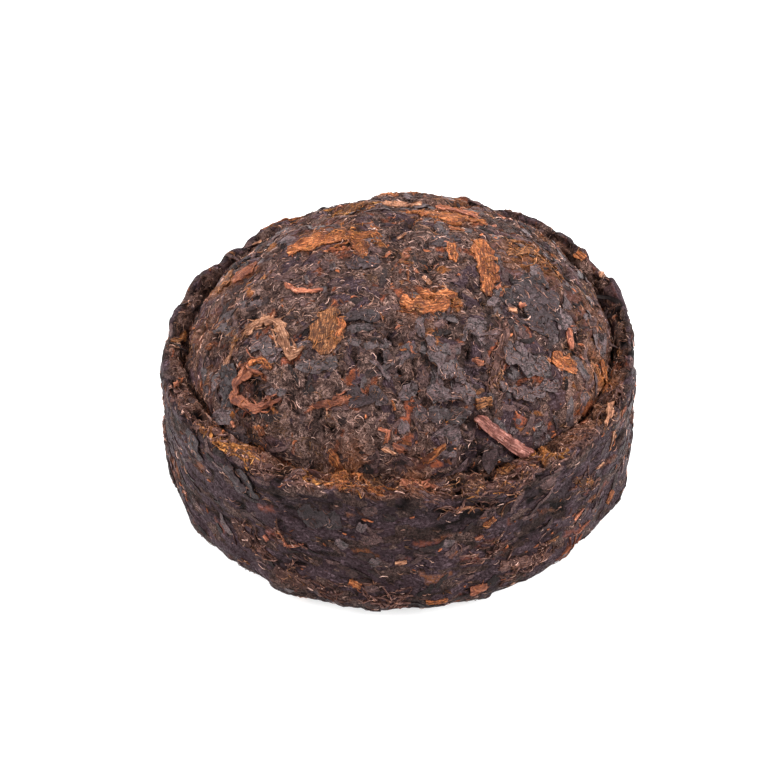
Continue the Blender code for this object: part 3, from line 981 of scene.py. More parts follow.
class Finish:
    """A material whose surface is a Principled BSDF, with places in millimetres."""

    def __init__(self, name: str, effects: Effects) -> None:
        """Makes the material, its shader and its place sockets."""
        self.material = bpy.data.materials.new(name)
        self.material.use_nodes = True
        self.effects = effects
        self.wiring = Wiring(self.material.node_tree)
        self.shader = self.wiring.add("ShaderNodeBsdfPrincipled")
        output = self.wiring.add("ShaderNodeOutputMaterial")
        self.wiring.feed(output.inputs["Surface"], self.shader.outputs[0])
        place = self.wiring.add("ShaderNodeTexCoord").outputs["Object"]
        self.place = self.wiring.vector("MULTIPLY", place, (1000.0, 1000.0, 1000.0))

    def fibres(self, scale: float, width: float) -> tuple[Socket, Socket]:
        """Matted fibres: the thin lines, and the lumps between them."""
        inputs = {"Vector": self.place, "Scale": scale, "Width": width}
        node = self.wiring.add("ShaderNodeGroup", node_tree=self.effects.fibres)
        for name, value in inputs.items():
            self.wiring.feed(node.inputs[name], value)
        return node.outputs["Fibres"], node.outputs["Lumps"]

    def streaks(self) -> Socket:
        """Streaks along each leaf."""
        node = self.wiring.add("ShaderNodeGroup", node_tree=self.effects.grain)
        self.wiring.feed(node.inputs["Grain"], self.wiring.attribute("grain", "Vector"))
        self.wiring.feed(node.inputs["Vector"], self.place)
        return node.outputs["Streaks"]

    def shaded(self, colour: Socket, shade: Socket) -> Socket:
        """A colour made lighter or darker by one number."""
        grey = self.wiring.add("ShaderNodeCombineXYZ", {0: shade, 1: shade, 2: shade}).outputs[0]
        return self.wiring.vector("MULTIPLY", colour, grey)

    def dress(
        self, colour: Socket, roughness: Socket, height: Socket, depth: float, specular: float
    ) -> Material:
        """Joins colour, roughness and bump to the shader.

        Args:
            colour: the base colour.
            roughness: the roughness.
            height: the bump's height, 0 to 1.
            depth: how many millimetres that height is.
            specular: the specular level.

        Returns:
            The finished material.
        """
        inputs = {"Strength": 1.0, "Distance": depth * MM, "Height": height}
        bump = self.wiring.add("ShaderNodeBump", inputs)
        self.wiring.feed(self.shader.inputs["Base Color"], colour)
        self.wiring.feed(self.shader.inputs["Roughness"], roughness)
        self.wiring.feed(self.shader.inputs["Normal"], bump.outputs[0])
        self.shader.inputs["Specular IOR Level"].default_value = specular
        return self.material


@dataclass(frozen=True)
class BodyFinish:
    """The pressed body: brown matted fibres, smooth slate leaves, creases darkened with painted
    shade, and ochre tufts.
    """

    fuzz_dark: Colour = rgb(0.008, 0.0034, 0.0032)
    fuzz_mid: Colour = rgb(0.028, 0.0125, 0.0115)
    fuzz_light: Colour = rgb(0.50, 0.30, 0.25)
    slate_dark: Colour = rgb(0.0175, 0.0084, 0.0105)
    slate_light: Colour = rgb(0.100, 0.064, 0.074)
    ochre: Colour = rgb(0.28, 0.092, 0.024)
    rust: Colour = rgb(0.22, 0.056, 0.024)
    # Painted shade: the near-black that low places, cracks and rim nicks are darkened towards.
    crease: Colour = rgb(0.005, 0.0024, 0.0024)

    bump_depth: float = 0.11
    specular: float = 0.06
    crack_width: float = 0.016

    def material(self, effects: Effects) -> Material:
        """The material, with its nodes."""
        finish = Finish("matted_tea", effects)
        wire, place = finish.wiring, finish.place
        tone, fuzz = wire.attribute("tone"), wire.attribute("fuzz")
        speckle = wire.noise(place, 7.0, 2.0, 0.7)
        streaks = finish.streaks()

        coarse, lumps = finish.fibres(2.4, 0.036)
        fine, _ = finish.fibres(5.0, 0.045)
        lines = wire.math("MAXIMUM", coarse, wire.product(fine, 0.9))
        lumpy = wire.span(lumps, 0.35, 0.68)
        pale = wire.product(
            lines, wire.span(tone, 0.0, 1.0, 0.3, 0.95), wire.span(speckle, 0.35, 0.65, 0.35, 1.0),
            wire.span(fuzz, 0.0, 1.0, 0.35, 0.8),
        )
        fuzzy = wire.mix(pale, wire.mix(lumpy, self.fuzz_dark, self.fuzz_mid), self.fuzz_light)

        share = wire.product(
            wire.span(streaks, 0.4, 0.7), wire.span(speckle, 0.35, 0.68),
            wire.span(tone, 0.0, 1.0, 0.7, 1.6),
        )
        is_slate = wire.span(wire.attribute("slate"), 0.3, 0.6)
        colour = wire.mix(is_slate, fuzzy, wire.mix(share, self.slate_dark, self.slate_light))

        warm = wire.math("ADD", wire.product(lines, 0.7), wire.product(lumpy, 0.55))
        warm = wire.math("MINIMUM", warm, 1.0)
        colour = wire.mix(wire.product(wire.attribute("rust"), warm), colour, self.rust)
        colour = wire.mix(wire.product(wire.attribute("ochre"), warm), colour, self.ochre)

        # Thin broken cracks, sunk by the bump and darkened with painted shade.
        far = wire.noise(wire.vector("MULTIPLY", place, (0.8, 0.8, 1.5)), 1.0, 3.0, 0.55)
        broken = wire.span(wire.noise(place, 0.9, 1.0), 0.45, 0.6)
        crack_shade = wire.product(wire.line(far, self.crack_width), broken)
        # Painted shade in the low places and nicks, joined with the painted shade in the cracks.
        crease = wire.math("MAXIMUM", crack_shade, wire.product(wire.attribute("crease"), 0.95))
        colour = wire.mix(wire.math("MINIMUM", crease, 1.0), colour, self.crease)

        matted = wire.math("MULTIPLY_ADD", lines, 0.5, wire.product(lumps, 0.6))
        smooth = wire.math("MULTIPLY_ADD", streaks, 0.3, wire.product(speckle, 0.35))
        height = wire.math("SUBTRACT", wire.blend(is_slate, matted, smooth), crack_shade)
        rough = wire.span(speckle, 0.3, 0.7, 0.75, 0.4)
        return finish.dress(colour, rough, height, self.bump_depth, self.specular)


class LeafHue(Enum):
    """The colours that single leaves have."""

    ORANGE = "orange"
    OCHRE = "ochre"
    TAN = "tan"
    RUST = "rust"
    UMBER = "umber"
    SLATE = "slate"
    INK = "ink"
    GOLD = "gold"
    STALK = "stalk"


@dataclass(frozen=True)
class LeafFinish:
    """A leaf's finish: streaks between two colours, pits and cracks darkened with painted shade,
    pale fibres along it, and on some leaves pale specks painted as glints.
    """

    name: str
    dark: Colour
    mid: Colour
    light: Colour
    # Painted shade: the colour that small pits are darkened towards.
    pit: Colour = rgb(0.02, 0.010, 0.007)
    roughness: float = 0.62
    specular: float = 0.1
    # How strongly the pits' painted shade shows.
    pitted: float = 0.5
    varied: float = 0.35
    streaky: float = 1.0
    # Painted highlight: how strongly pale specks stand for glints, together with pale fibres.
    glint_specks: float = 0.0
    cracked: float = 0.0
    # Painted shade: the colour that cracks are darkened towards.
    crack_shade: Colour = rgb(0.006, 0.0025, 0.002)
    crack_width: float = 0.024
    bump_depth: float = 0.07

    def material(self, effects: Effects) -> Material:
        """The material, with its nodes."""
        finish = Finish(self.name, effects)
        wire, place = finish.wiring, finish.place
        tone = wire.attribute("tone")
        fibres, lumps = finish.fibres(4.0, 0.05)
        wrinkles = wire.noise(place, 4.5, 3.0, 0.65, 0.6)
        streaks = wire.blend(self.streaky, wrinkles, finish.streaks())
        speckle = wire.noise(place, 7.0, 2.0, 0.7)
        patchy = wire.noise(place, 1.6, 2.0, 0.6)

        middle = wire.product(wire.span(streaks, 0.36, 0.6), wire.span(patchy, 0.3, 0.55))
        light = wire.product(
            wire.span(streaks, 0.5, 0.7), wire.span(speckle, 0.4, 0.65),
            wire.span(tone, 0.0, 1.0, 0.6, 1.0),
        )
        colour = wire.mix(light, wire.mix(middle, self.dark, self.mid), self.light)
        # Painted shade in small pits, where the lumps or the speckle run low.
        pit_shade = wire.math("MAXIMUM", wire.span(lumps, 0.47, 0.36), wire.span(speckle, 0.42, 0.32))
        colour = wire.mix(wire.product(pit_shade, self.pitted), colour, self.pit)
        # Painted highlights: pale specks as glints, joined with the pale fibres.
        if self.glint_specks:
            glint_specks = wire.span(wire.noise(place, 11.0, 2.0, 0.6), 0.6, 0.68)
            glint_specks = wire.math("MAXIMUM", glint_specks, wire.product(fibres, 0.5))
            colour = wire.mix(wire.product(glint_specks, self.glint_specks), colour, self.light)
        shade = wire.span(tone, 0.0, 1.0, 1.0 - self.varied, 1.0 + self.varied * 0.5)
        colour = finish.shaded(colour, shade)
        rough = wire.span(speckle, 0.3, 0.7, self.roughness + 0.15, self.roughness - 0.15)
        height = wire.math("MULTIPLY_ADD", speckle, 0.6, streaks)
        # Cracks, sunk by the bump and darkened with painted shade.
        if self.cracked:
            split = wire.noise(place, 1.9, 3.0, 0.6, 0.4)
            crack_shade = wire.product(wire.line(split, self.crack_width), self.cracked)
            colour = wire.mix(crack_shade, colour, self.crack_shade)
            height = wire.math("SUBTRACT", height, crack_shade)
        return finish.dress(colour, rough, height, self.bump_depth, self.specular)


@dataclass(frozen=True)
class HairFinish:
    """Fine bud hairs, from dark brown to pale gold, redder or more golden in the tufts."""

    dark: Colour
    light: Colour
    name: str
    ochre: Colour = rgb(0.40, 0.145, 0.038)
    rust: Colour = rgb(0.30, 0.082, 0.034)
    gold: Colour = rgb(0.30, 0.150, 0.070)
    drifts: float = 0.5
    tinted: float = 0.8
    bump_depth: float = 0.01
    specular: float = 0.06

    def material(self, effects: Effects) -> Material:
        """The material, with its nodes."""
        finish = Finish(self.name, effects)
        wire = finish.wiring
        tone = wire.attribute("tone")
        colour = wire.mix(wire.span(tone, 0.15, 1.0), self.dark, self.light)
        drift = wire.noise(finish.place, 0.6, 3.0, 0.55)
        colour = wire.mix(wire.span(drift, 0.5, 0.66, 0.0, self.drifts), colour, self.gold)
        for name, tint in (("rust", self.rust), ("ochre", self.ochre)):
            colour = wire.mix(wire.product(wire.attribute(name), self.tinted), colour, tint)
        colour = finish.shaded(colour, wire.span(tone, 0.0, 1.0, 0.5, 1.12))
        wander = wire.noise(finish.place, 6.0, 1.0)
        rough = wire.math("MULTIPLY_ADD", wander, 0.2, 0.5)
        return finish.dress(colour, rough, wander, self.bump_depth, self.specular)


ORANGE, OCHRE, TAN, RUST, UMBER, SLATE, INK, GOLD, STALK = LeafHue

LEAF_FINISHES = {
    ORANGE: LeafFinish(
        "orange_leaf", rgb(0.06, 0.016, 0.007), rgb(0.28, 0.082, 0.027), rgb(0.48, 0.215, 0.088),
        pitted=0.8,
    ),
    OCHRE: LeafFinish(
        "ochre_leaf", rgb(0.035, 0.012, 0.006), rgb(0.16, 0.058, 0.022), rgb(0.36, 0.17, 0.078),
        pitted=0.95,
    ),
    TAN: LeafFinish(
        "tan_leaf", rgb(0.13, 0.050, 0.028), rgb(0.40, 0.185, 0.105), rgb(0.60, 0.36, 0.235)
    ),
    RUST: LeafFinish(
        "rust_leaf", rgb(0.10, 0.031, 0.021), rgb(0.30, 0.098, 0.052), rgb(0.50, 0.23, 0.14)
    ),
    UMBER: LeafFinish(
        "umber_leaf", rgb(0.035, 0.014, 0.012), rgb(0.11, 0.052, 0.042), rgb(0.28, 0.155, 0.125)
    ),
    SLATE: LeafFinish(
        "slate_leaf", rgb(0.013, 0.0056, 0.0062), rgb(0.043, 0.0230, 0.0255),
        rgb(0.19, 0.118, 0.118), roughness=0.42, specular=0.26, pitted=0.6, streaky=0.55,
        glint_specks=0.5, cracked=1.0,
    ),
    INK: LeafFinish(
        "ink_leaf", rgb(0.010, 0.0050, 0.0058), rgb(0.026, 0.0146, 0.0168),
        rgb(0.11, 0.072, 0.075), roughness=0.5, specular=0.16, pitted=0.4, streaky=0.5,
        glint_specks=0.3, cracked=0.8,
    ),
    GOLD: LeafFinish(
        "gold_leaf", rgb(0.08, 0.026, 0.008), rgb(0.34, 0.130, 0.034), rgb(0.62, 0.33, 0.12)
    ),
    STALK: LeafFinish(
        "stalk", rgb(0.09, 0.029, 0.023), rgb(0.26, 0.105, 0.082), rgb(0.37, 0.195, 0.165),
        pitted=0.45,
    ),
}

# How thickly hair lies on each kind of leaf, and how golden and how red that hair is.
HAIR_ON_LEAVES = {
    ORANGE: (0.25, 1.0, 0.4),
    OCHRE: (0.25, 1.0, 0.0),
    TAN: (0.2, 0.6, 0.2),
    RUST: (0.25, 0.3, 0.9),
    UMBER: (0.4, 0.1, 0.1),
    SLATE: (0.6, 0.05, 0.1),
    INK: (0.25, 0.0, 0.05),
    GOLD: (0.2, 1.0, 0.0),
    STALK: (0.15, 0.2, 0.5),
}


@dataclass(frozen=True)
class Blade:
    """A flat leaf's own form: rings of points along a route, closed at both ends."""

    width: float
    rise: float
    sink: float = 0.25
    top_steps: int = 6
    spacing: float = 0.17
    ragged: float = 0.16
    blunt: float = 4.0
    tilt: float = 0.0
    under: tuple[float, ...] = (0.62, 0.0, -0.62)
    edge_rise: float = 0.75
    tip_rise: float = 0.35
    uneven: float = 0.15

    def rings(self, route: Array, normals: Array, seed: int) -> tuple[Array, Array, Array, Array]:
        """Rings across the route, before they are laid on the nest.

        Args:
            route: points along the leaf's middle.
            normals: the surface's normals there.
            seed: which leaf it is, for its ragged edge.

        Returns:
            Ring points without lift, lifts, and the place along and across the leaf.
        """
        rng = np.random.default_rng(seed)
        side = unit(np.cross(normals, unit(np.gradient(route, axis=0))))
        share = np.linspace(-1, 1, len(route) + 2)[1:-1]
        taper = (1 - np.abs(share) ** self.blunt) ** 0.6
        edges = []
        for _ in range(2):
            bumps = rng.normal(0, 1, len(route))
            bumps = bumps + np.roll(bumps, 1) * 0.7
            edges.append(self.width / 2 * taper * np.clip(1 + self.ragged * bumps, 0.45, 1.5))
        top = np.linspace(-1, 1, self.top_steps + 1)
        section = np.concatenate([top, self.under])
        crown = self.edge_rise + (1 - self.edge_rise) * (1 - np.abs(top) ** 3)
        lift = self.rise * crown * (1 + self.tilt * top)
        lift = np.concatenate([lift, np.full(len(self.under), -self.sink)])
        across = np.where(section < 0, edges[0][:, None] * section, edges[1][:, None] * section)
        points = route[:, None] + side[:, None] * across[..., None]
        thin = self.tip_rise + (1 - self.tip_rise) * taper[:, None]
        lifts = np.where(lift > 0, lift * thin, lift)
        lifts = lifts * (1 + self.uneven * rng.normal(0, 1, lifts.shape) * (lift > 0))
        length = np.concatenate([[0], np.cumsum(np.linalg.norm(np.diff(route, axis=0), axis=1))])
        along = np.broadcast_to(length[:, None] - length[-1] / 2, across.shape)
        return points, lifts, along, across


def tube_faces(rings: int, corners: int, start: int) -> list[tuple[int, ...]]:
    """Faces of a closed tube of rings, capped by a point at each end.

    Args:
        rings: how many rings.
        corners: how many points in a ring.
        start: the number of the first ring's first point; the two end points follow the rings.

    Returns:
        The faces.
    """
    faces = []
    for ring in range(rings - 1):
        for corner in range(corners):
            after = (corner + 1) % corners
            a, b = start + ring * corners + corner, start + ring * corners + after
            faces.append((a, a + corners, b + corners, b))
    first, last = start + rings * corners, start + rings * corners + 1
    for corner in range(corners):
        after = (corner + 1) % corners
        faces.append((first, start + corner, start + after))
        end = start + (rings - 1) * corners
        faces.append((last, end + after, end + corner))
    return faces


def smooth_route(places: Sequence[Sequence[float]], count: int) -> Array:
    """Points along a smooth curve through the given places, by Catmull-Rom pieces.

    Args:
        places: where the curve goes through.
        count: how many points.

    Returns:
        The points.
    """
    places = np.array(places, float)
    padded = np.vstack([2 * places[0] - places[1], places, 2 * places[-1] - places[-2]])
    route = []
    for at in np.linspace(0, len(places) - 1, count):
        index = min(int(at), len(places) - 2)
        share = at - index
        before, start, end, after = padded[index : index + 4]
        route.append(
            start
            + 0.5 * share * (end - before)
            + share**2 * (before - 2.5 * start + 2 * end - 0.5 * after)
            + share**3 * (1.5 * start - 0.5 * before - 1.5 * end + 0.5 * after)
        )
    return np.array(route)


@dataclass(frozen=True)
class Leaf:
    """One leaf or stalk where the real nest shows it.

    Places are (x, y) on the dome and rim, or (azimuth in degrees, height) on the wall.
    """

    hue: LeafHue
    places: tuple[Pair, ...]
    width: float
    rise: float = 0.1
    wall: bool = False
    tilt: float = 0.0
    blunt: float = 4.0
    ragged: float = 0.16
    bridges: bool = False


LEAVES = (
    # The diamond, the curl and the hook at the left of the dome.
    Leaf(OCHRE, ((-3.55, -3.2), (-3.7, -4.5), (-3.9, -5.8)), 1.6, 0.2, blunt=1.4, ragged=0.22),
    Leaf(ORANGE, ((-3.2, -3.9), (-3.05, -4.5), (-3.3, -5.1)), 0.5, 0.22, ragged=0.3),
    Leaf(
        TAN, ((-8.1, -3.2), (-7.5, -3), (-6.8, -3.1), (-6.2, -3.7), (-5.9, -4.5),
         (-5.6, -5.3), (-4.9, -5.2)),
        0.56, 0.2, ragged=0.32,
    ),
    Leaf(
        RUST, ((-7, -6), (-7.7, -5.5), (-8.5, -5.6), (-8.4, -6.2),
         (-7.9, -6.7), (-7.2, -7.2), (-6.5, -7.3)),
        0.52, 0.2, ragged=0.28,
    ),
    Leaf(ORANGE, ((-7.6, -5.2), (-7, -5.3), (-6.5, -5.9)), 0.3, 0.18),
    # The tongue, the bands and the fork towards the back.
    Leaf(ORANGE, ((4, 2.7), (4.2, 0.7), (4.45, -1.7)), 1.25, 0.16, blunt=2),
    Leaf(ORANGE, ((2.4, 1.6), (2.5, 0.2)), 0.55, 0.12),
    Leaf(ORANGE, ((0.8, 4.8), (2.3, 5), (3.7, 5.1)), 1.05, 0.14),
    Leaf(RUST, ((1.7, 6.4), (2.8, 6.3), (3.9, 5.9)), 0.7, 0.12),
    Leaf(ORANGE, ((2.3, 3.3), (3.1, 3.3)), 0.5, 0.1),
    Leaf(ORANGE, ((-6.1, 2.3), (-4.6, 2.3), (-2.9, 2.4)), 1.15, 0.15),
    Leaf(ORANGE, ((-3.9, 2.7), (-2.7, 2.4), (-1.5, 2.1)), 0.7, 0.14),
    Leaf(ORANGE, ((-2.7, 2.5), (-2.3, 1.3), (-2.1, 0.1)), 0.7, 0.14, blunt=2),
    Leaf(OCHRE, ((-3.8, 5.4), (-2.8, 5.9), (-1.7, 6.3)), 0.62, 0.14),
    Leaf(TAN, ((-1.2, 6.2), (-0.2, 6.5), (0.9, 6.6)), 0.5, 0.12),
    # Patches at the left, in the middle and at the right.
    Leaf(OCHRE, ((-9.7, 1.3), (-9.4, 2), (-9.2, 3)), 0.85, 0.14),
    Leaf(RUST, ((-8.9, 1.4), (-8.2, 1.8), (-7.7, 2)), 0.85, 0.14),
    Leaf(ORANGE, ((-0.1, -2.9), (1.1, -3.3), (2.3, -2.8)), 0.8, 0.18, ragged=0.3),
    Leaf(ORANGE, ((0.9, -2.5), (1.7, -2.6), (2.7, -2.2)), 0.4, 0.15, ragged=0.3),
    Leaf(RUST, ((-6.1, -0.8), (-5.3, -1.6), (-4.1, -1.8)), 0.3, 0.12, ragged=0.3),
    Leaf(OCHRE, ((5.4, 2), (6.5, 2.8), (7.3, 3.1)), 0.5, 0.12),
    Leaf(OCHRE, ((7.1, 2.3), (7.9, 2.6), (8.4, 2)), 0.4, 0.12),
    Leaf(ORANGE, ((7.8, -3.8), (8.4, -3.7), (9, -3.5)), 1, 0.14),
    Leaf(RUST, ((8.7, -1.6), (8.8, -2.7)), 0.4, 0.12),
    # The knob and the stalk at the right front, and strips along the front.
    Leaf(OCHRE, ((3.75, -7.5), (4.1, -7.35), (4.5, -7.2)), 0.55, 0.3),
    Leaf(
        STALK, ((3.75, -7.95), (5.2, -8), (6.65, -7.68)),
        0.68, 0.34, blunt=10, ragged=0.07, bridges=True,
    ),
    Leaf(ORANGE, ((1.1, -9.7), (1.6, -9.5), (2.3, -9.1)), 0.3, 0.14),
    Leaf(RUST, ((-4.5, -8), (-3.4, -8), (-2.2, -7.9)), 0.34, 0.14),
    Leaf(ORANGE, ((-7.2, -7.8), (-6.9, -8.2)), 0.35, 0.14),
    Leaf(ORANGE, ((-7.1, -8.4), (-6.8, -8.8)), 0.3, 0.14),
    Leaf(ORANGE, ((10.5, -1.4), (10.7, -2.2), (10.8, -3.2)), 0.6, 0.16, ragged=0.3),
    Leaf(TAN, ((10.9, -4), (10.8, -4.9), (10.6, -5.8)), 0.35, 0.16),
    Leaf(TAN, ((-8.4, -3), (-8.8, -3.8), (-9.2, -4.6)), 0.34, 0.12, ragged=0.3),
    Leaf(TAN, ((5.5, -2.2), (5.9, -2.1)), 0.3, 0.12),
    Leaf(RUST, ((6, -1.7), (6.4, -1.5)), 0.35, 0.12),
    Leaf(ORANGE, ((9.5, 7.4), (9.9, 7.1)), 0.45, 0.14),
    Leaf(ORANGE, ((-3.5, -9.5), (-3, -9.9), (-2.7, -10.7)), 0.5, 0.16, ragged=0.3),
    Leaf(RUST, ((-1.1, -9), (-0.6, -9.1), (-0.7, -9.4)), 0.22, 0.14),
    # Smooth dark flaps round the middle and the right.
    Leaf(SLATE, ((1.2, -4.9), (1.9, -6.2), (3.1, -6.8)), 0.85, 0.26, tilt=-0.6, ragged=0.28),
    Leaf(SLATE, ((5, -4.4), (6.1, -5.1), (7.4, -4.3)), 1, 0.2, tilt=-0.6, ragged=0.28),
    Leaf(SLATE, ((1.3, -7.4), (2.4, -7.5), (3.6, -7)), 0.9, 0.24, tilt=-0.5, ragged=0.28),
    Leaf(SLATE, ((4.9, -6.4), (6.3, -6.2), (8, -4.9)), 0.7, 0.2, tilt=-0.6, ragged=0.28),
    Leaf(INK, ((5.2, -1.8), (6.2, -0.6), (7.4, 0.8)), 1, 0.12, ragged=0.3),
    Leaf(INK, ((6.2, -2.9), (7.2, -1.7), (8.2, -1.4)), 1, 0.12, ragged=0.3),
    Leaf(INK, ((5.6, -1), (6.9, -0.7), (8.1, 0)), 1.5, 0.16, ragged=0.3),
    Leaf(INK, ((5.9, -2.8), (6.9, -2.7), (8, -2.2)), 0.9, 0.15, ragged=0.3),
    Leaf(INK, ((1.6, 1.2), (2.2, 2), (2.9, 2.2)), 1.1, 0.1, ragged=0.3),
    Leaf(INK, ((-2.9, -0.3), (-2.1, 0), (-1.3, -0.4)), 0.9, 0.1, ragged=0.3),
    Leaf(INK, ((-2.6, -7.6), (-1.7, -8), (-0.9, -7.7)), 0.9, 0.12, ragged=0.3),
    Leaf(INK, ((-8.8, -6.3), (-8.9, -5.2), (-9.1, -4.2)), 0.9, 0.12, ragged=0.3),
    Leaf(SLATE, ((1.4, -8.3), (2.3, -8.2), (3.4, -8)), 0.8, 0.26, tilt=0.4),
    Leaf(INK, ((-3, -4.1), (-2.1, -3.9), (-1.2, -4.2)), 0.7, 0.2, tilt=-0.4),
    Leaf(SLATE, ((-5.2, -6), (-4.1, -6.4), (-3.2, -6.2)), 0.8, 0.18),
    Leaf(INK, ((-8.9, -7), (-8.3, -7.5), (-7.7, -8)), 0.9, 0.16),
    Leaf(SLATE, ((-7.6, -4.3), (-6.9, -4.5), (-6.5, -5.3)), 0.8, 0.16),
    Leaf(UMBER, ((5.2, -3.6), (4.9, -5), (4.6, -6.2)), 0.5, 0.2, ragged=0.2),
    # On the wall.
    Leaf(UMBER, ((228.5, 4.2), (230.5, 3.8), (233.5, 3)), 0.8, 0.08, True),
    Leaf(UMBER, ((241, 2.5), (246, 2), (251, 1.8)), 0.8, 0.08, True),
    Leaf(RUST, ((242, 5.2), (244, 4.3), (248, 4.6)), 0.16, 0.06, True, ragged=0.3),
    Leaf(ORANGE, ((259, 2.8), (262, 2.6)), 0.4, 0.08, True),
    Leaf(UMBER, ((295, 2.9), (301, 2.5), (308, 2.2)), 0.7, 0.08, True),
    Leaf(RUST, ((288, 1.6), (292, 1.6)), 0.6, 0.08, True),
    Leaf(ORANGE, ((333, 2.2), (336, 2.6)), 0.5, 0.08, True),
    Leaf(ORANGE, ((291, 5.9), (293.5, 6.3)), 0.3, 0.08, True),
    Leaf(OCHRE, ((318, 6.2), (325, 4.9)), 0.35, 0.08, True, ragged=0.3),
    Leaf(ORANGE, ((277, 1.5), (282, 1.45)), 0.3, 0.08, True),
    Leaf(INK, ((227.5, 8), (229.5, 7.3), (232, 6.6)), 0.9, 0.12, True, tilt=0.9),
    Leaf(INK, ((231, 8.1), (233.5, 7.4), (236, 6.7)), 1, 0.12, True, tilt=0.9),
    Leaf(INK, ((247.5, 7.2), (251, 6.7), (257, 6.9)), 1.1, 0.13, True, tilt=-0.9),
    Leaf(INK, ((213, 8), (216, 7.7), (219, 7)), 1, 0.1, True, tilt=0.8),
    Leaf(RUST, ((238, 4.4), (239.3, 4.2)), 0.25, 0.08, True),
    Leaf(TAN, ((334, 7.2), (333, 6)), 0.3, 0.08, True),
)


@dataclass(frozen=True)
class Bundle:
    """Fine strands that run together, such as a tuft of golden bud fibres.

    Places are (x, y) on the dome and rim, or (azimuth in degrees, height) on the wall.
    """

    hue: LeafHue
    places: tuple[Pair, ...]
    count: int
    spread: float
    wall: bool = False
    half_length: Pair = (0.25, 0.6)
    width: Pair = (0.05, 0.10)
    turn: float = 0.6
    bend: float = 1.2
    rise: Pair = (0.05, 0.13)


SLIM = (0.035, 0.07)
UNEVEN = (0.035, 0.08)
FINE = (0.03, 0.06)
WALL_TUFT = {"wall": True, "width": (0.03, 0.08)}
EDGE_CURLS = {"wall": True, "turn": 0.5, "bend": 2.4}

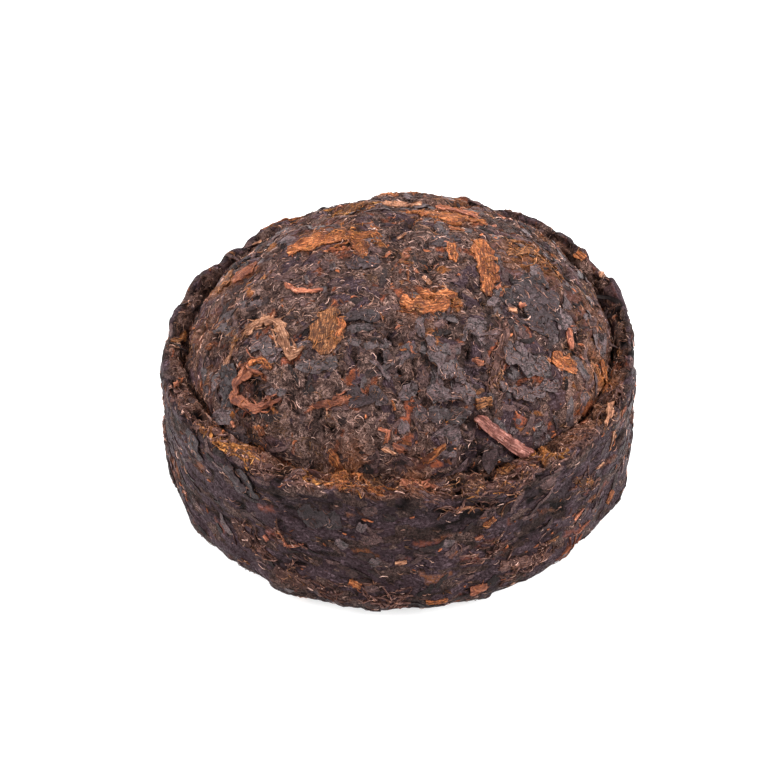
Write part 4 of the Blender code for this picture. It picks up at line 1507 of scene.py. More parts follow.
BUNDLES = (
    Bundle(UMBER, ((-10.2, -7), (-8.9, -8.7), (-7.2, -10)), 40, 0.3),
    Bundle(
        GOLD, ((-9, -8.5), (-8.2, -9.2), (-7.5, -9.8)),
        40, 0.2, half_length=(0.3, 0.75), width=SLIM, turn=0.35,
    ),
    Bundle(GOLD, ((-10.1, -7.4), (-9.3, -8.3), (-8.6, -9.1)), 12, 0.2, width=SLIM, turn=0.4),
    Bundle(UMBER, ((-7, -10.1), (-5.6, -10.9), (-4.2, -11.3)), 30, 0.3),
    Bundle(ORANGE, ((-3.6, -11.1), (-2.8, -11.2), (-1.9, -11.2)), 20, 0.22, width=SLIM, turn=0.4),
    Bundle(GOLD, ((-4.6, -10.9), (-3.4, -11.1), (-2.2, -11.2)), 10, 0.25, width=FINE, turn=0.4),
    Bundle(ORANGE, ((-2.9, -10.1), (-2.6, -10.7), (-2.4, -11.3)), 30, 0.35, width=SLIM),
    Bundle(ORANGE, ((-2.2, -10.5), (-1.5, -11), (-0.6, -11.2)), 14, 0.22, width=UNEVEN, turn=0.4),
    Bundle(UMBER, ((-3.6, -11.1), (1, -11.4), (4.4, -10.9)), 60, 0.3, width=UNEVEN, turn=0.4),
    Bundle(RUST, ((0.2, -10.7), (0.9, -10.7), (1.6, -10.4)), 16, 0.22, width=UNEVEN, turn=0.5),
    Bundle(GOLD, ((3.6, -10.9), (4.6, -10.6), (5.8, -10)), 7, 0.25, width=FINE),
    Bundle(UMBER, ((4.6, -10.8), (7.2, -9.2), (9.4, -7.2)), 46, 0.35),
    Bundle(GOLD, ((7.3, -8.6), (7.7, -8.3), (8.1, -7.9)), 8, 0.2, width=FINE),
    Bundle(UMBER, ((9, -8), (10.4, -5.8), (11.4, -3)), 36, 0.35),
    Bundle(ORANGE, ((10.5, -3.2), (10.7, -2.2), (10.6, -1.4)), 12, 0.3),
    Bundle(UMBER, ((-11.7, -4.2), (-11, -5.9), (-10, -7.4)), 26, 0.3),
    Bundle(RUST, ((-8.6, -5.9), (-8, -5.2), (-7, -5.4)), 14, 0.2, turn=0.3),
    Bundle(RUST, ((-7.9, -6.8), (-7.2, -7.2), (-6.4, -7.3)), 12, 0.18, turn=0.3),
    Bundle(TAN, ((-8.2, -3.1), (-6.9, -3.2), (-5.6, -5)), 20, 0.25),
    Bundle(UMBER, ((-8.3, -2.6), (-8.9, -3.8), (-9.4, -4.8)), 24, 0.3),
    Bundle(UMBER, ((5.2, -3), (4.9, -5), (4.7, -6.6)), 46, 0.25, turn=0.35),
    Bundle(ORANGE, ((-0.2, -3.1), (1, -3.3), (2.6, -2.7)), 20, 0.35),
    Bundle(RUST, ((-4.5, -8), (-3.2, -8), (-2, -7.8)), 16, 0.12, turn=0.25),
    Bundle(OCHRE, ((5.4, 2), (6.8, 2.7), (8.4, 2.2)), 22, 0.5),
    Bundle(ORANGE, ((-4.8, 2.4), (-3, 2.4), (-1.2, 2)), 24, 0.6),
    Bundle(ORANGE, ((0.6, 4.8), (2.3, 5), (4.2, 5.1)), 20, 0.5),
    Bundle(GOLD, ((-4, 5.4), (-2.6, 6), (-1.2, 6.4)), 16, 0.4),
    Bundle(UMBER, ((279, 7.7), (290, 7.4), (303, 7.6)), 14, 0.3, **EDGE_CURLS, width=FINE),
    Bundle(TAN, ((280, 7.6), (289, 7.4), (299, 7.5)), 6, 0.3, **EDGE_CURLS, width=(0.02, 0.035)),
    Bundle(UMBER, ((316, 6.4), (321, 5.6), (327, 4.8)), 12, 0.3, wall=True),
    Bundle(UMBER, ((231, 4.2), (235, 3.6), (240, 3.2)), 24, 0.35, **WALL_TUFT),
    Bundle(UMBER, ((244, 2.6), (250, 2), (257, 1.9)), 30, 0.4, **WALL_TUFT),
    Bundle(UMBER, ((262, 2.4), (267, 1.8), (272, 1.6)), 22, 0.35, **WALL_TUFT),
    Bundle(UMBER, ((296, 2.8), (303, 2.4), (311, 2.3)), 34, 0.4, **WALL_TUFT),
    Bundle(UMBER, ((284, 4.2), (290, 3.9), (296, 4.4)), 18, 0.35, **WALL_TUFT),
    Bundle(RUST, ((314, 1.6), (319, 1.7), (324, 2.2)), 8, 0.3, wall=True, width=(0.03, 0.07)),
    Bundle(UMBER, ((241, 5.2), (244, 4.4), (249, 4.6)), 9, 0.15, wall=True, width=FINE),
)


@dataclass(frozen=True)
class StrayLeaves:
    """Leaves laid by a seeded rule where the real nest is out of sight, and small ones between."""

    seed: int
    count: int
    half_length: Pair
    width: Pair
    rise: Pair
    hues: tuple[tuple[LeafHue, float], ...]
    hidden_only: bool
    bend: float = 0.3
    least_height: float = 0.6


STRAYS = (
    StrayLeaves(
        41, 46, (0.5, 1.5), (0.3, 0.8), (0.06, 0.13),
        ((ORANGE, 0.12), (OCHRE, 0.12), (TAN, 0.12), (RUST, 0.2), (UMBER, 0.44)), True,
    ),
    StrayLeaves(
        42, 110, (0.12, 0.4), (0.1, 0.28), (0.04, 0.1),
        ((ORANGE, 0.3), (RUST, 0.34), (TAN, 0.16), (OCHRE, 0.2)), False,
    ),
)


def closest(pool: Array, places: Array) -> list[int]:
    """The number of the pool's point that is nearest to each place."""
    return [int(np.argmin(((pool - place) ** 2).sum(axis=1))) for place in places]


def resampled(rows: Array, count: int) -> Array:
    """As many rows as asked, read off at even places along the given ones."""
    at = np.linspace(0, len(rows) - 1, count)
    return np.column_stack([np.interp(at, range(len(rows)), column) for column in rows.T])


class LeafWork:
    """Lays single leaves and stalks on the body and joins those of one hue into one piece."""

    AROUND = 720
    STATIONS = Stations(hollow=8, flat=6, foot=6, wall=48, edge=6, rim=10, groove=10, dome=90)
    ROUTE_POINTS = 24
    STRAND_POINTS = 10
    STRAY_POINTS = 16
    LEAST_RINGS = 5
    NAMED_SEED = 100
    BUNDLE_SEED = 900
    STRAND_SEED = 20000
    SEED_STEP = 1.7
    END_SINK = 0.4
    BRIDGE_LIFT = 0.8
    HIDDEN_FACING = 0.1
    SHARP_EDGE = math.radians(50)

    def __init__(self, shape: NestShape, body: Thing) -> None:
        """Reads the body for laying leaves on it.

        Args:
            shape: the nest's plain form.
            body: the body with its relief.
        """
        grid = shape.grid(self.AROUND, self.STATIONS)
        crest = int(np.flatnonzero(grid.zones == Zone.RIM)[0])
        self.top_points = grid.points[:, crest:].reshape(-1, 3)
        self.top_normals = grid.normals[:, crest:].reshape(-1, 3)
        wall_points = grid.points[:, :crest].reshape(-1, 3)
        outer = np.hypot(*wall_points[:, :2].T) > shape.hollow_radius + 3
        self.wall_points = wall_points[outer]
        self.wall_normals = grid.normals[:, :crest].reshape(-1, 3)[outer]
        self.degree = shape.rim_radius * math.radians(1)
        vertices = [vertex.co / MM for vertex in body.data.vertices]
        faces = [tuple(face.vertices) for face in body.data.polygons]
        self.skin = BVHTree.FromPolygons(vertices, faces)
        self.made: dict[LeafHue, list[tuple]] = {hue: [] for hue in LeafHue}

    def _nearest(self, place: Array) -> Array:
        """The body's nearest point to a place."""
        return np.array(self.skin.find_nearest(place)[0])

    def _routed(self, places: Sequence[Pair], wall: bool) -> tuple[Array, Array]:
        """A route on the plain nest.

        Args:
            places: (x, y) seen from above, or (azimuth in degrees, height) on the wall.
            wall: whether they are on the wall.

        Returns:
            Points along the route, and the normals there.
        """
        flat = smooth_route(places, self.ROUTE_POINTS)
        if not wall:
            nearest = closest(self.top_points[:, :2], flat)
            return np.column_stack([flat, self.top_points[nearest, 2]]), self.top_normals[nearest]
        azimuth = np.degrees(np.arctan2(self.wall_points[:, 1], self.wall_points[:, 0])) % 360
        scale = np.array([self.degree, 1.0])
        nearest = closest(np.column_stack([azimuth, self.wall_points[:, 2]]) * scale, flat * scale)
        radius = np.hypot(*self.wall_points[nearest, :2].T)
        turn = np.radians(flat[:, 0])
        route = np.column_stack([radius * np.cos(turn), radius * np.sin(turn), flat[:, 1]])
        return route, self.wall_normals[nearest]

    def _bridged(self, route: Array, normals: Array) -> tuple[Array, Array]:
        """Makes a route straight from end to end, just over what lies between.

        Args:
            route: points along the leaf's middle.
            normals: the surface's normals there.

        Returns:
            The straight route, and its one normal at each point.
        """
        low, high = self._nearest(route[0])[2], self._nearest(route[-1])[2]
        share = np.linspace(0, 1, len(route))[:, None]
        route[:, 2:] = low * (1 - share) + high * share
        up = unit(normals.mean(axis=0))
        sunk = max((self._nearest(place) - place) @ up for place in route)
        route = route + up * max(0.0, sunk) * self.BRIDGE_LIFT
        return route, np.repeat(up[None], len(route), axis=0)

    def lay(
        self, hue: LeafHue, blade: Blade, route: Array, normals: Array, seed: int,
        bridges: bool = False,
    ) -> None:
        """Makes one leaf on the body's skin and keeps it for its hue's piece.

        Args:
            hue: the leaf's colour.
            blade: its form.
            route: points along its middle.
            normals: the surface's normals there.
            seed: which leaf it is.
            bridges: whether it spans hollows instead of lying in them.
        """
        length = np.linalg.norm(np.diff(route, axis=0), axis=1).sum()
        count = max(self.LEAST_RINGS, int(length / blade.spacing))
        route, normals = resampled(route, count), resampled(normals, count)
        for k in range(3):
            normals[1:-1, k] = np.convolve(normals[:, k], np.ones(3) / 3, "valid")
        normals = unit(normals)
        if bridges:
            route, normals = self._bridged(route, normals)
        points, lifts, along, across = blade.rings(route, normals, seed)
        laid = np.empty_like(points)
        for i, ring in enumerate(points):
            for j, point in enumerate(ring):
                found = point if bridges else self._nearest(point)
                laid[i, j] = found + normals[i] * lifts[i, j]
        sink = blade.sink * self.END_SINK
        ends = [self._nearest(route[k]) - normals[k] * sink for k in (0, -1)]
        flat = np.vstack([laid.reshape(-1, 3), ends])
        flat[:, 2] = np.maximum(flat[:, 2], 0)
        number = seed * self.SEED_STEP
        grain = np.column_stack([along.ravel(), across.ravel(), np.full(across.size, number)])
        grain = np.vstack([grain, [[along[0, 0], 0, number], [along[-1, 0], 0, number]]])
        self.made[hue].append((flat, points.shape[:2], grain, seed))

    def lay_named(self) -> None:
        """Lays every leaf that has a place of its own."""
        for number, leaf in enumerate(LEAVES):
            blade = Blade(
                leaf.width, leaf.rise, tilt=leaf.tilt, blunt=leaf.blunt, ragged=leaf.ragged
            )
            route, normals = self._routed(leaf.places, leaf.wall)
            self.lay(leaf.hue, blade, route, normals, self.NAMED_SEED + number, leaf.bridges)

    def lay_bundles(self) -> None:
        """Lays the strands of every bundle beside its route."""
        for number, bundle in enumerate(BUNDLES):
            rng = np.random.default_rng(self.BUNDLE_SEED + number)
            route, normals = self._routed(bundle.places, bundle.wall)
            ahead = unit(np.gradient(route, axis=0))
            for strand in range(bundle.count):
                at = int(rng.integers(len(route)))
                side = np.cross(normals[at], ahead[at])
                turn = rng.normal(0, bundle.turn)
                way = ahead[at] * math.cos(turn) + side * math.sin(turn)
                half = rng.uniform(*bundle.half_length)
                reach = np.linspace(-half, half, self.STRAND_POINTS)[:, None]
                bend = rng.uniform(-bundle.bend, bundle.bend)
                curve = bend * np.cross(normals[at], way) * reach**2
                places = route[at] + side * rng.normal(0, bundle.spread) + way * reach + curve
                blade = Blade(
                    rng.uniform(*bundle.width), rng.uniform(*bundle.rise), sink=0.06, top_steps=2,
                    ragged=0.1, blunt=3.0,
                )
                up = np.repeat(normals[at][None], self.STRAND_POINTS, axis=0)
                self.lay(bundle.hue, blade, places, up, self.STRAND_SEED + number * 100 + strand)

    def lay_strays(self, strays: StrayLeaves) -> None:
        """Lays leaves at random places, those on the wall mostly level.

        Args:
            strays: how many there are, and of what kinds.
        """
        rng = np.random.default_rng(strays.seed)
        points = np.vstack([self.top_points, self.wall_points])
        normals = np.vstack([self.top_normals, self.wall_normals])
        allowed = points[:, 2] > strays.least_height
        if strays.hidden_only:
            tilt = math.radians(Studio.elevation)
            seen_from = np.array([0, -math.cos(tilt), math.sin(tilt)])
            allowed = normals @ seen_from < self.HIDDEN_FACING
        allowed = np.flatnonzero(allowed)
        hues, shares = zip(*strays.hues)
        shares = np.array(shares) / sum(shares)
        for number in range(strays.count):
            centre = int(rng.choice(allowed))
            normal = normals[centre]
            steep = abs(normal[2]) < 0.98
            level = unit(np.cross((0, 0, 1), normal)) if steep else np.array([1.0, 0, 0])
            heading = rng.uniform(-math.pi, math.pi) * (0.15 if abs(normal[2]) < 0.3 else 1)
            ahead = level * math.cos(heading) + np.cross(normal, level) * math.sin(heading)
            half = rng.uniform(*strays.half_length)
            bend = rng.uniform(-strays.bend, strays.bend)
            reach = np.linspace(-half, half, self.STRAY_POINTS)[:, None]
            route = points[centre] + ahead * reach + np.cross(normal, ahead) * bend * reach**2
            blade = Blade(
                rng.uniform(*strays.width), rng.uniform(*strays.rise), ragged=0.25, blunt=3.0,
                top_steps=4 if half > 0.45 else 2,
            )
            hue = LeafHue(rng.choice([hue.value for hue in hues], p=shares))
            seed = strays.seed * 1000 + number
            self.lay(hue, blade, route, normals[closest(points, route)], seed)

    def pieces(self, effects: Effects) -> list[Thing]:
        """Joins the leaves of each hue.

        Args:
            effects: the shader groups that the finishes use.

        Returns:
            One object for each hue.
        """
        made = []
        for hue, leaves in self.made.items():
            vertices, faces, grains, tones = [], [], [], []
            count = 0
            for flat, (rings, corners), grain, seed in leaves:
                faces += tube_faces(rings, corners, count)
                vertices.append(flat)
                grains.append(grain)
                tones.append(np.full(len(flat), np.random.default_rng(seed).uniform()))
                count += len(flat)
            mesh = bpy.data.meshes.new(f"{hue.value}_leaves")
            mesh.from_pydata((np.vstack(vertices) * MM).tolist(), [], faces)
            mesh.shade_smooth()
            mesh.set_sharp_from_angle(angle=self.SHARP_EDGE)
            write_attribute(mesh, "tone", np.concatenate(tones))
            for name, value in zip(("fuzz", "ochre", "rust"), HAIR_ON_LEAVES[hue]):
                write_attribute(mesh, name, np.full(count, value))
            write_attribute(mesh, "free", np.ones(count))
            write_grain(mesh, np.vstack(grains))
            mesh.materials.append(LEAF_FINISHES[hue].material(effects))
            made.append(linked(mesh.name, mesh))
        return made


@dataclass(frozen=True)
class ScrapShapes:
    """A few small shapes that a scattered piece picks from, each along X with its top at +Z."""

    name: str
    count: int
    half_length: Pair
    half_width: Pair
    rise: Pair
    section: tuple[Pair, ...]
    rings: int
    bend: float
    sink: float
    seed: int
    blunt: float = 3.0
    arch: float = 0.0
    number_step: float = 3.3
    sharp_edge: float = math.radians(38)

    def collection(self) -> bpy.types.Collection:
        """The shapes as hidden helpers in a collection of their own."""
        shapes = bpy.data.collections.new(self.name)
        rng = np.random.default_rng(self.seed)
        for number in range(self.count):
            mesh = self._shape(rng, number)
            shapes.objects.link(bpy.data.objects.new(mesh.name, mesh))
        return shapes

    def _shape(self, rng: np.random.Generator, number: int) -> bpy.types.Mesh:
        """One of the shapes.

        Args:
            rng: where its sizes are drawn from.
            number: which shape it is.

        Returns:
            Its mesh.
        """
        half_length = rng.uniform(*self.half_length)
        half_width = rng.uniform(*self.half_width)
        rise = rng.uniform(*self.rise)
        bend = rng.uniform(-self.bend, self.bend)
        mark = number * self.number_step
        vertices, grain = [], []
        for s in np.linspace(-1, 1, self.rings + 2)[1:-1]:
            taper = (1 - abs(s) ** self.blunt) ** 0.5
            along = s * half_length
            wobble = rng.uniform(0.75, 1.25, 2)
            for across, up in self.section:
                v = across * half_width * taper * wobble[int(across > 0)]
                lift = up * rise * (0.4 + 0.6 * taper) if up > 0 else up * self.sink
                vertices.append((along, bend * along**2 + v, lift + self.arch * (1 - s * s)))
                grain.append((along, v, mark))
        for along in (-half_length, half_length):
            vertices.append((along, bend * along**2, -self.sink * 0.5))
            grain.append((along, 0, mark))
        mesh = bpy.data.meshes.new(f"{self.name}_{number}")
        places = np.array(vertices)
        faces = tube_faces(self.rings, len(self.section), 0)
        mesh.from_pydata((places * MM).tolist(), [], faces)
        mesh.shade_smooth()
        if len(self.section) > 3:
            mesh.set_sharp_from_angle(angle=self.sharp_edge)
        write_attribute(mesh, "lift", places[:, 2] * MM)
        write_grain(mesh, np.array(grain, float))
        return mesh


class ScatterTree:
    """A geometry node tree that spreads shapes over the body and drapes them on its relief."""

    SOCKETS = {
        "Nest": "Geometry", "Shapes": "Collection", "Density": "Float", "Seed": "Int",
        "Smallest": "Float", "Largest": "Float", "Swirl": "Float", "Stray Turn": "Float",
        "Finish": "Material",
    }
    FLOW_TURN = 14.0
    MOST_SHAPES = 50

    def __init__(self, name: str, weight: str) -> None:
        """Builds the tree.

        Args:
            name: the tree's name.
            weight: the body's attribute that says how densely shapes lie.
        """
        self.group = bpy.data.node_groups.new(name, "GeometryNodeTree")
        sockets = self.group.interface
        sockets.new_socket("Scattered", in_out="OUTPUT", socket_type="NodeSocketGeometry")
        self.identifiers = {}
        for socket, kind in self.SOCKETS.items():
            made = sockets.new_socket(socket, in_out="INPUT", socket_type=f"NodeSocket{kind}")
            self.identifiers[socket] = made.identifier
        wire = self.wire = Wiring(self.group)
        given = self.given = wire.add("NodeGroupInput").outputs
        self.place = wire.add("GeometryNodeInputPosition").outputs[0]
        density = wire.product(given["Density"], wire.named(weight))
        inputs = {"Mesh": given["Nest"], "Density": density, "Seed": given["Seed"]}
        spread = wire.add("GeometryNodeDistributePointsOnFaces", inputs).outputs
        shapes = wire.add("GeometryNodeCollectionInfo", {
            "Collection": given["Shapes"], "Separate Children": True, "Reset Children": True,
        }).outputs[0]
        draw = {4: 0, 5: self.MOST_SHAPES, "Seed": self._seed(2)}
        pick = wire.add("FunctionNodeRandomValue", draw, data_type="INT").outputs[2]
        size = wire.drawn(self._seed(3), given["Smallest"], given["Largest"])
        instances = wire.add("GeometryNodeInstanceOnPoints", {
            "Points": spread["Points"], "Instance": shapes, "Pick Instance": True,
            "Instance Index": pick, "Rotation": self._turned(spread["Normal"]), "Scale": size,
        }).outputs[0]
        tone = wire.drawn(self._seed(4), 0.0, 1.0)
        inputs = {"Geometry": instances, "Name": "tone", "Value": tone}
        kinds = {"data_type": "FLOAT", "domain": "INSTANCE"}
        toned = wire.add("GeometryNodeStoreNamedAttribute", inputs, **kinds).outputs[0]
        real = wire.add("GeometryNodeRealizeInstances", {"Geometry": toned}).outputs[0]
        inputs = {"Geometry": self._draped(real), "Material": given["Finish"]}
        dressed = wire.add("GeometryNodeSetMaterial", inputs).outputs[0]
        wire.feed(wire.add("NodeGroupOutput").inputs[0], dressed)

    def _seed(self, shift: int) -> Socket:
        """The tree's seed, moved on so that each draw has its own."""
        return self.wire.math("ADD", self.given["Seed"], float(shift))

    def _turned(self, normal: Socket) -> Socket:
        """How each shape lies: flat, level on the wall, and turned by a flow and a stray turn.

        Args:
            normal: the body's normal under it.

        Returns:
            The shape's rotation.
        """
        wire = self.wire
        inputs = {"Vector": normal}
        rotation = wire.add("FunctionNodeAlignRotationToVector", inputs, axis="Z").outputs[0]
        level = wire.vector("CROSS_PRODUCT", (0.0, 0.0, 1.0), self.place)
        inputs = {"Rotation": rotation, "Vector": level}
        kinds = {"axis": "X", "pivot_axis": "Z"}
        rotation = wire.add("FunctionNodeAlignRotationToVector", inputs, **kinds).outputs[0]
        flow = wire.math("SUBTRACT", wire.noise(self.place, self.given["Swirl"], 1.0), 0.5)
        stray = self.given["Stray Turn"]
        stray = wire.drawn(self._seed(1), wire.product(stray, -1.0), stray)
        turn = wire.math("MULTIPLY_ADD", flow, self.FLOW_TURN, stray)
        inputs = {"Axis": (0.0, 0.0, 1.0), "Angle": wire.product(turn, wire.named("free"))}
        spin = wire.add("FunctionNodeAxisAngleToRotation", inputs).outputs[0]
        inputs = {"Rotation": rotation, "Rotate By": spin}
        return wire.add("FunctionNodeRotateRotation", inputs, rotation_space="LOCAL").outputs[0]

    def _draped(self, geometry: Socket) -> Socket:
        """Lays every point on the body at its own lift, and none below the floor.

        Args:
            geometry: the shapes as real mesh.

        Returns:
            The same mesh, draped.
        """
        wire, nest = self.wire, self.given["Nest"]
        inputs = {0: nest, "Source Position": self.place}
        under = wire.add("GeometryNodeProximity", inputs, target_element="FACES").outputs[0]
        normal = wire.add("GeometryNodeInputNormal").outputs[0]
        inputs = {"Mesh": nest, "Value": normal, "Sample Position": self.place}
        kinds = {"data_type": "FLOAT_VECTOR"}
        facing = wire.add("GeometryNodeSampleNearestSurface", inputs, **kinds).outputs["Value"]
        raised = wire.vector("SCALE", wire.vector("NORMALIZE", facing))
        wire.feed(raised.node.inputs["Scale"], wire.named("lift"))
        position = wire.vector("MAXIMUM", wire.vector("ADD", under, raised), (-1.0, -1.0, 0.0))
        inputs = {"Geometry": geometry, "Position": position}
        return wire.add("GeometryNodeSetPosition", inputs).outputs[0]

    def run(self, name: str, body: Thing, values: dict[str, object]) -> Thing:
        """Runs the tree on the body and keeps the result as a plain mesh.

        Args:
            name: the new piece's name.
            body: the body that the shapes lie on.
            values: input name to value.

        Returns:
            The new piece.
        """
        piece = linked(name, body.data)
        scatter = piece.modifiers.new("scatter", "NODES")
        scatter.node_group = self.group
        for socket, value in values.items():
            scatter[self.identifiers[socket]] = value
        piece.update_tag()
        depsgraph = bpy.context.evaluated_depsgraph_get()
        mesh = bpy.data.meshes.new_from_object(
            piece.evaluated_get(depsgraph), preserve_all_data_layers=True, depsgraph=depsgraph
        )
        piece.modifiers.clear()
        piece.data = mesh
        mesh.name = name
        return piece


@dataclass(frozen=True)
class Scattered:
    """One scattered piece: what it is made of, how densely it lies and how it is finished."""

    name: str
    shapes: ScrapShapes
    finish: LeafFinish | HairFinish
    weight: str
    per_square_mm: float
    sizes: Pair
    swirl: float
    stray_turn: float
    seed: int
    kept: tuple[str, ...] = ("tone", "grain", "ochre", "rust")
    inner: tuple[str, ...] = (".", "material", "sharp", "UVMap")

    def build(self, body: Thing, effects: Effects) -> Thing:
        """Scatters the shapes over the body.

        Args:
            body: the mesh that they lie on.
            effects: the shader groups that the finish uses.

        Returns:
            The shapes as one plain mesh.
        """
        shapes = self.shapes.collection()
        tree = ScatterTree(f"{self.name}_scatter", self.weight)
        piece = tree.run(self.name, body, {
            "Shapes": shapes,
            "Density": self.per_square_mm / MM**2,
            "Seed": self.seed,
            "Smallest": self.sizes[0],
            "Largest": self.sizes[1],
            "Swirl": self.swirl / MM,
            "Stray Turn": self.stray_turn,
            "Finish": self.finish.material(effects),
        })
        for shape in list(shapes.objects):
            bpy.data.objects.remove(shape)
        bpy.data.collections.remove(shapes)
        bpy.data.node_groups.remove(tree.group)
        self._keep_only_used(piece.data)
        return piece

    def _keep_only_used(self, mesh: bpy.types.Mesh) -> None:
        """Drops attributes that no finish reads."""
        for name in [item.name for item in mesh.attributes]:
            item = mesh.attributes.get(name)
            if item and not item.is_required and name not in self.kept:
                if not name.startswith(self.inner):
                    mesh.attributes.remove(item)


FLAT_SECTION = ((1, 1.0), (0.4, 0.9), (-0.3, 0.65), (-1, 0.3), (-0.5, -1), (0.6, -1))
SCALE_SECTION = ((1, 1.0), (0.3, 0.7), (-0.4, 0.4), (-1, 0.1), (-0.5, -1), (0.45, -1))
BIT_SECTION = ((1, 0.7), (0, 1), (-1, 0.7), (0, -1))
ROUND_SECTION = ((1, 0), (-0.2, 1), (-0.6, -0.6))

SHREDS = ScrapShapes(
    "shred", 16, (0.25, 0.9), (0.08, 0.34), (0.03, 0.06), FLAT_SECTION, 5, 0.4, 0.05, 51
)
SCALES = ScrapShapes(
    "scale", 14, (0.3, 1.05), (0.15, 0.5), (0.05, 0.12), SCALE_SECTION, 5, 0.35, 0.06, 53
)
BITS = ScrapShapes(
    "bit", 12, (0.07, 0.30), (0.02, 0.065), (0.04, 0.07), BIT_SECTION, 3, 1.6, 0.03, 54
)
HAIRS = ScrapShapes(
    "hair", 20, (0.09, 0.31), (0.008, 0.014), (0.018, 0.03), ROUND_SECTION, 4, 3.2, 0.012, 52,
    blunt=2.0, arch=0.03,
)
ARCHED_HAIRS = replace(HAIRS, name="arched_hair", arch=0.035, seed=55)

DARK_SHRED = LeafFinish(
    "dark_shred", rgb(0.014, 0.0056, 0.0060), rgb(0.042, 0.0205, 0.0200),
    rgb(0.17, 0.098, 0.088), roughness=0.52, specular=0.1, pitted=0.5, varied=0.8, streaky=0.5,
    glint_specks=0.45, cracked=0.7,
)
AMBER_BIT = LeafFinish(
    "amber_bit", rgb(0.07, 0.020, 0.010), rgb(0.24, 0.068, 0.026), rgb(0.42, 0.16, 0.075),
    pitted=0.4, varied=0.9,
)
BROWN_HAIR = HairFinish(rgb(0.015, 0.0070, 0.0064), rgb(0.105, 0.055, 0.047), "brown_hair")
TAWNY_HAIR = HairFinish(rgb(0.070, 0.032, 0.025), rgb(0.32, 0.163, 0.122), "tawny_hair")
PALE_HAIR = HairFinish(rgb(0.15, 0.079, 0.066), rgb(0.60, 0.375, 0.31), "pale_hair")

FLAKE_LAYERS = (
    Scattered("dark_shreds", SHREDS, DARK_SHRED, "shred", 2.2, (0.6, 1.0), 0.12, 3.0, 61),
    Scattered(
        "slate_scales", SCALES, LEAF_FINISHES[SLATE], "scale", 0.85, (0.6, 1.15), 0.12, 3.0, 65
    ),
    Scattered("amber_bits", BITS, AMBER_BIT, "bit", 0.7, (0.5, 1.4), 0.12, 3.0, 66),
)
HAIR_LAYERS = (
    Scattered("brown_hairs", HAIRS, BROWN_HAIR, "fuzz", 8.0, (0.7, 1.3), 0.35, 1.4, 62),
    Scattered("tawny_hairs", ARCHED_HAIRS, TAWNY_HAIR, "fuzz", 8.6, (0.7, 1.3), 0.35, 1.0, 64),
    Scattered("pale_hairs", ARCHED_HAIRS, PALE_HAIR, "fuzz", 6.8, (0.6, 1.2), 0.35, 1.4, 63),
)


@dataclass(frozen=True)
class Lamp:
    """A soft square lamp that faces the nest's foot, in degrees, millimetres and watts."""

    name: str
    azimuth: float
    elevation: float
    distance: float
    side: float
    strength: float

    def build(self) -> None:
        """Hangs the lamp."""
        lamp = bpy.data.lights.new(self.name, "AREA")
        lamp.size = self.side * MM
        lamp.energy = self.strength
        turn, rise = math.radians(self.azimuth), math.radians(self.elevation)
        level = math.cos(rise)
        away = Vector((math.sin(turn) * level, -math.cos(turn) * level, math.sin(rise)))
        holder = linked(self.name, lamp)
        holder.location = away * self.distance * MM
        holder.rotation_euler = away.to_track_quat("Z", "Y").to_euler()


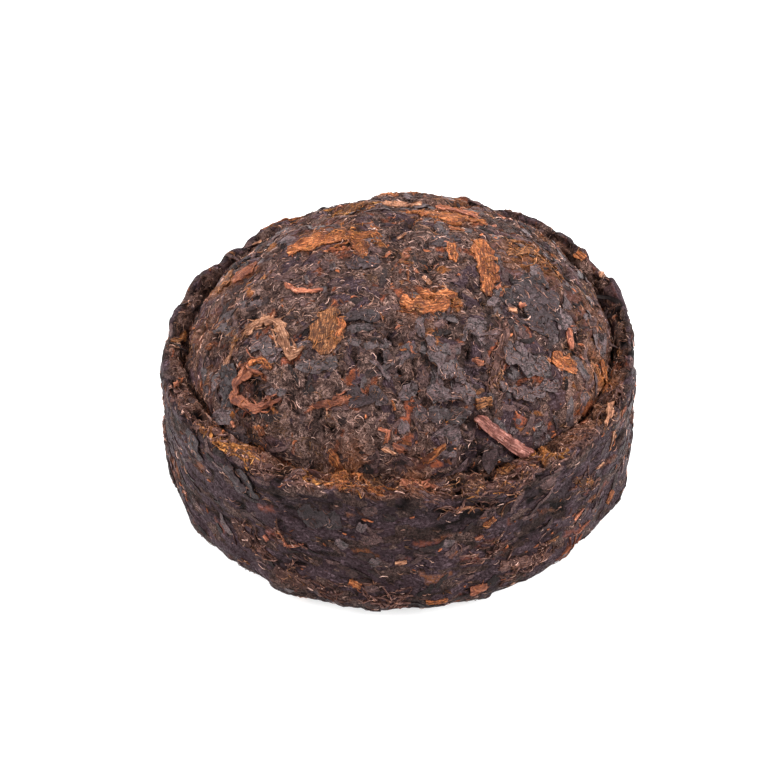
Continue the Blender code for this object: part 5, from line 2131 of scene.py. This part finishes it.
@dataclass(frozen=True)
class Studio:
    """A plain pale floor, soft white light and the camera, in millimetres and degrees."""

    look_at: tuple[float, float, float] = (-0.08, 0.1, 8.3)
    elevation: float = 40.2
    distance: float = 136.7
    aim_right: float = -0.816
    aim_up: float = -2.337
    roll: float = 1.03
    lens: float = 120.93
    sky: float = 0.68
    floor_side: float = 4000.0
    floor_shade: float = 0.45
    floor_glow: float = 0.62
    lamps: tuple[Lamp, ...] = (
        Lamp("key", -50.0, 78.0, 320.0, 240.0, 0.3),
        Lamp("back", 165.0, 54.0, 320.0, 220.0, 1.55),
        Lamp("right", 78.0, 28.0, 320.0, 200.0, 1.95),
        Lamp("left", -82.0, 28.0, 320.0, 200.0, 1.8),
    )

    def floor(self) -> None:
        """A wide pale floor under the nest."""
        half = self.floor_side / 2 * MM
        mesh = bpy.data.meshes.new("floor")
        corners = [(-half, -half, 0), (half, -half, 0), (half, half, 0), (-half, half, 0)]
        mesh.from_pydata(corners, [], [(0, 1, 2, 3)])
        material = bpy.data.materials.new("pale_floor")
        material.use_nodes = True
        values = {
            "Base Color": rgb(self.floor_shade, self.floor_shade, self.floor_shade),
            "Roughness": 0.9,
            "Specular IOR Level": 0.1,
            "Emission Color": rgb(1, 1, 1),
            "Emission Strength": self.floor_glow,
        }
        for name, value in values.items():
            material.node_tree.nodes["Principled BSDF"].inputs[name].default_value = value
        mesh.materials.append(material)
        floor = linked("floor", mesh)

    def light(self) -> None:
        """A white sky all round, and soft lamps."""
        world = bpy.data.worlds.new("white_sky")
        world.use_nodes = True
        sky = world.node_tree.nodes["Background"]
        sky.inputs["Color"].default_value = rgb(1, 1, 1)
        sky.inputs["Strength"].default_value = self.sky
        bpy.context.scene.world = world
        for lamp in self.lamps:
            lamp.build()

    def camera(self) -> None:
        """The camera at the view of the real nest."""
        tilt = math.radians(self.elevation)
        back = Vector((0, -math.cos(tilt), math.sin(tilt)))
        right, up = Vector((1, 0, 0)), Vector((0, math.sin(tilt), math.cos(tilt)))
        middle = Vector(self.look_at)
        target = middle + right * self.aim_right + up * self.aim_up
        place = middle + back * self.distance
        camera = bpy.data.cameras.new("camera")
        camera.lens = self.lens
        camera.sensor_width = 36
        camera.clip_start = 0.01
        holder = linked("camera", camera)
        holder.location = place * MM
        holder.rotation_euler = (place - target).to_track_quat("Z", "Y").to_euler()
        holder.rotation_euler.rotate_axis("Z", math.radians(self.roll))
        bpy.context.scene.camera = holder

    def build(self) -> None:
        """Floor, lights and camera."""
        self.floor()
        self.light()
        self.camera()
        bpy.context.scene.view_settings.view_transform = "Standard"


def joined_copy(pieces: Sequence[Thing]) -> Thing:
    """One helper object with the meshes of several pieces, for scattering over all of them.

    Args:
        pieces: the pieces, which stay as they are.

    Returns:
        The helper.
    """
    copies = [linked(f"{piece.name}_copy", piece.data.copy()) for piece in pieces]
    with bpy.context.temp_override(active_object=copies[0], selected_editable_objects=copies):
        bpy.ops.object.join()
    return copies[0]


def hand_over(piece: Thing) -> None:
    """Makes a finished piece part of the nest.

    Args:
        piece: the piece, at its place on the body.
    """
    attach(piece, BODY)
    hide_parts(NODE)
    triangles = sum(len(face.vertices) - 2 for face in piece.data.polygons)
    log.info("%s: %d triangles", piece.name, triangles)


def main() -> None:
    """Builds the studio, the body, its leaves, shreds and hairs."""
    Studio().build()
    effects = Effects()
    tea = TeaBody()
    body = tea.build()
    body.data.materials.append(BodyFinish().material(effects))
    work = LeafWork(tea.shape, body)
    work.lay_named()
    work.lay_bundles()
    for strays in STRAYS:
        work.lay_strays(strays)
    leaves = work.pieces(effects)
    flakes = [layer.build(body, effects) for layer in FLAKE_LAYERS]
    ground = joined_copy([body, *leaves])
    hairs = [layer.build(ground, effects) for layer in HAIR_LAYERS]
    bpy.data.objects.remove(ground)
    for piece in [body, *flakes, *leaves, *hairs]:
        hand_over(piece)


if __name__ == "__main__":
    main()
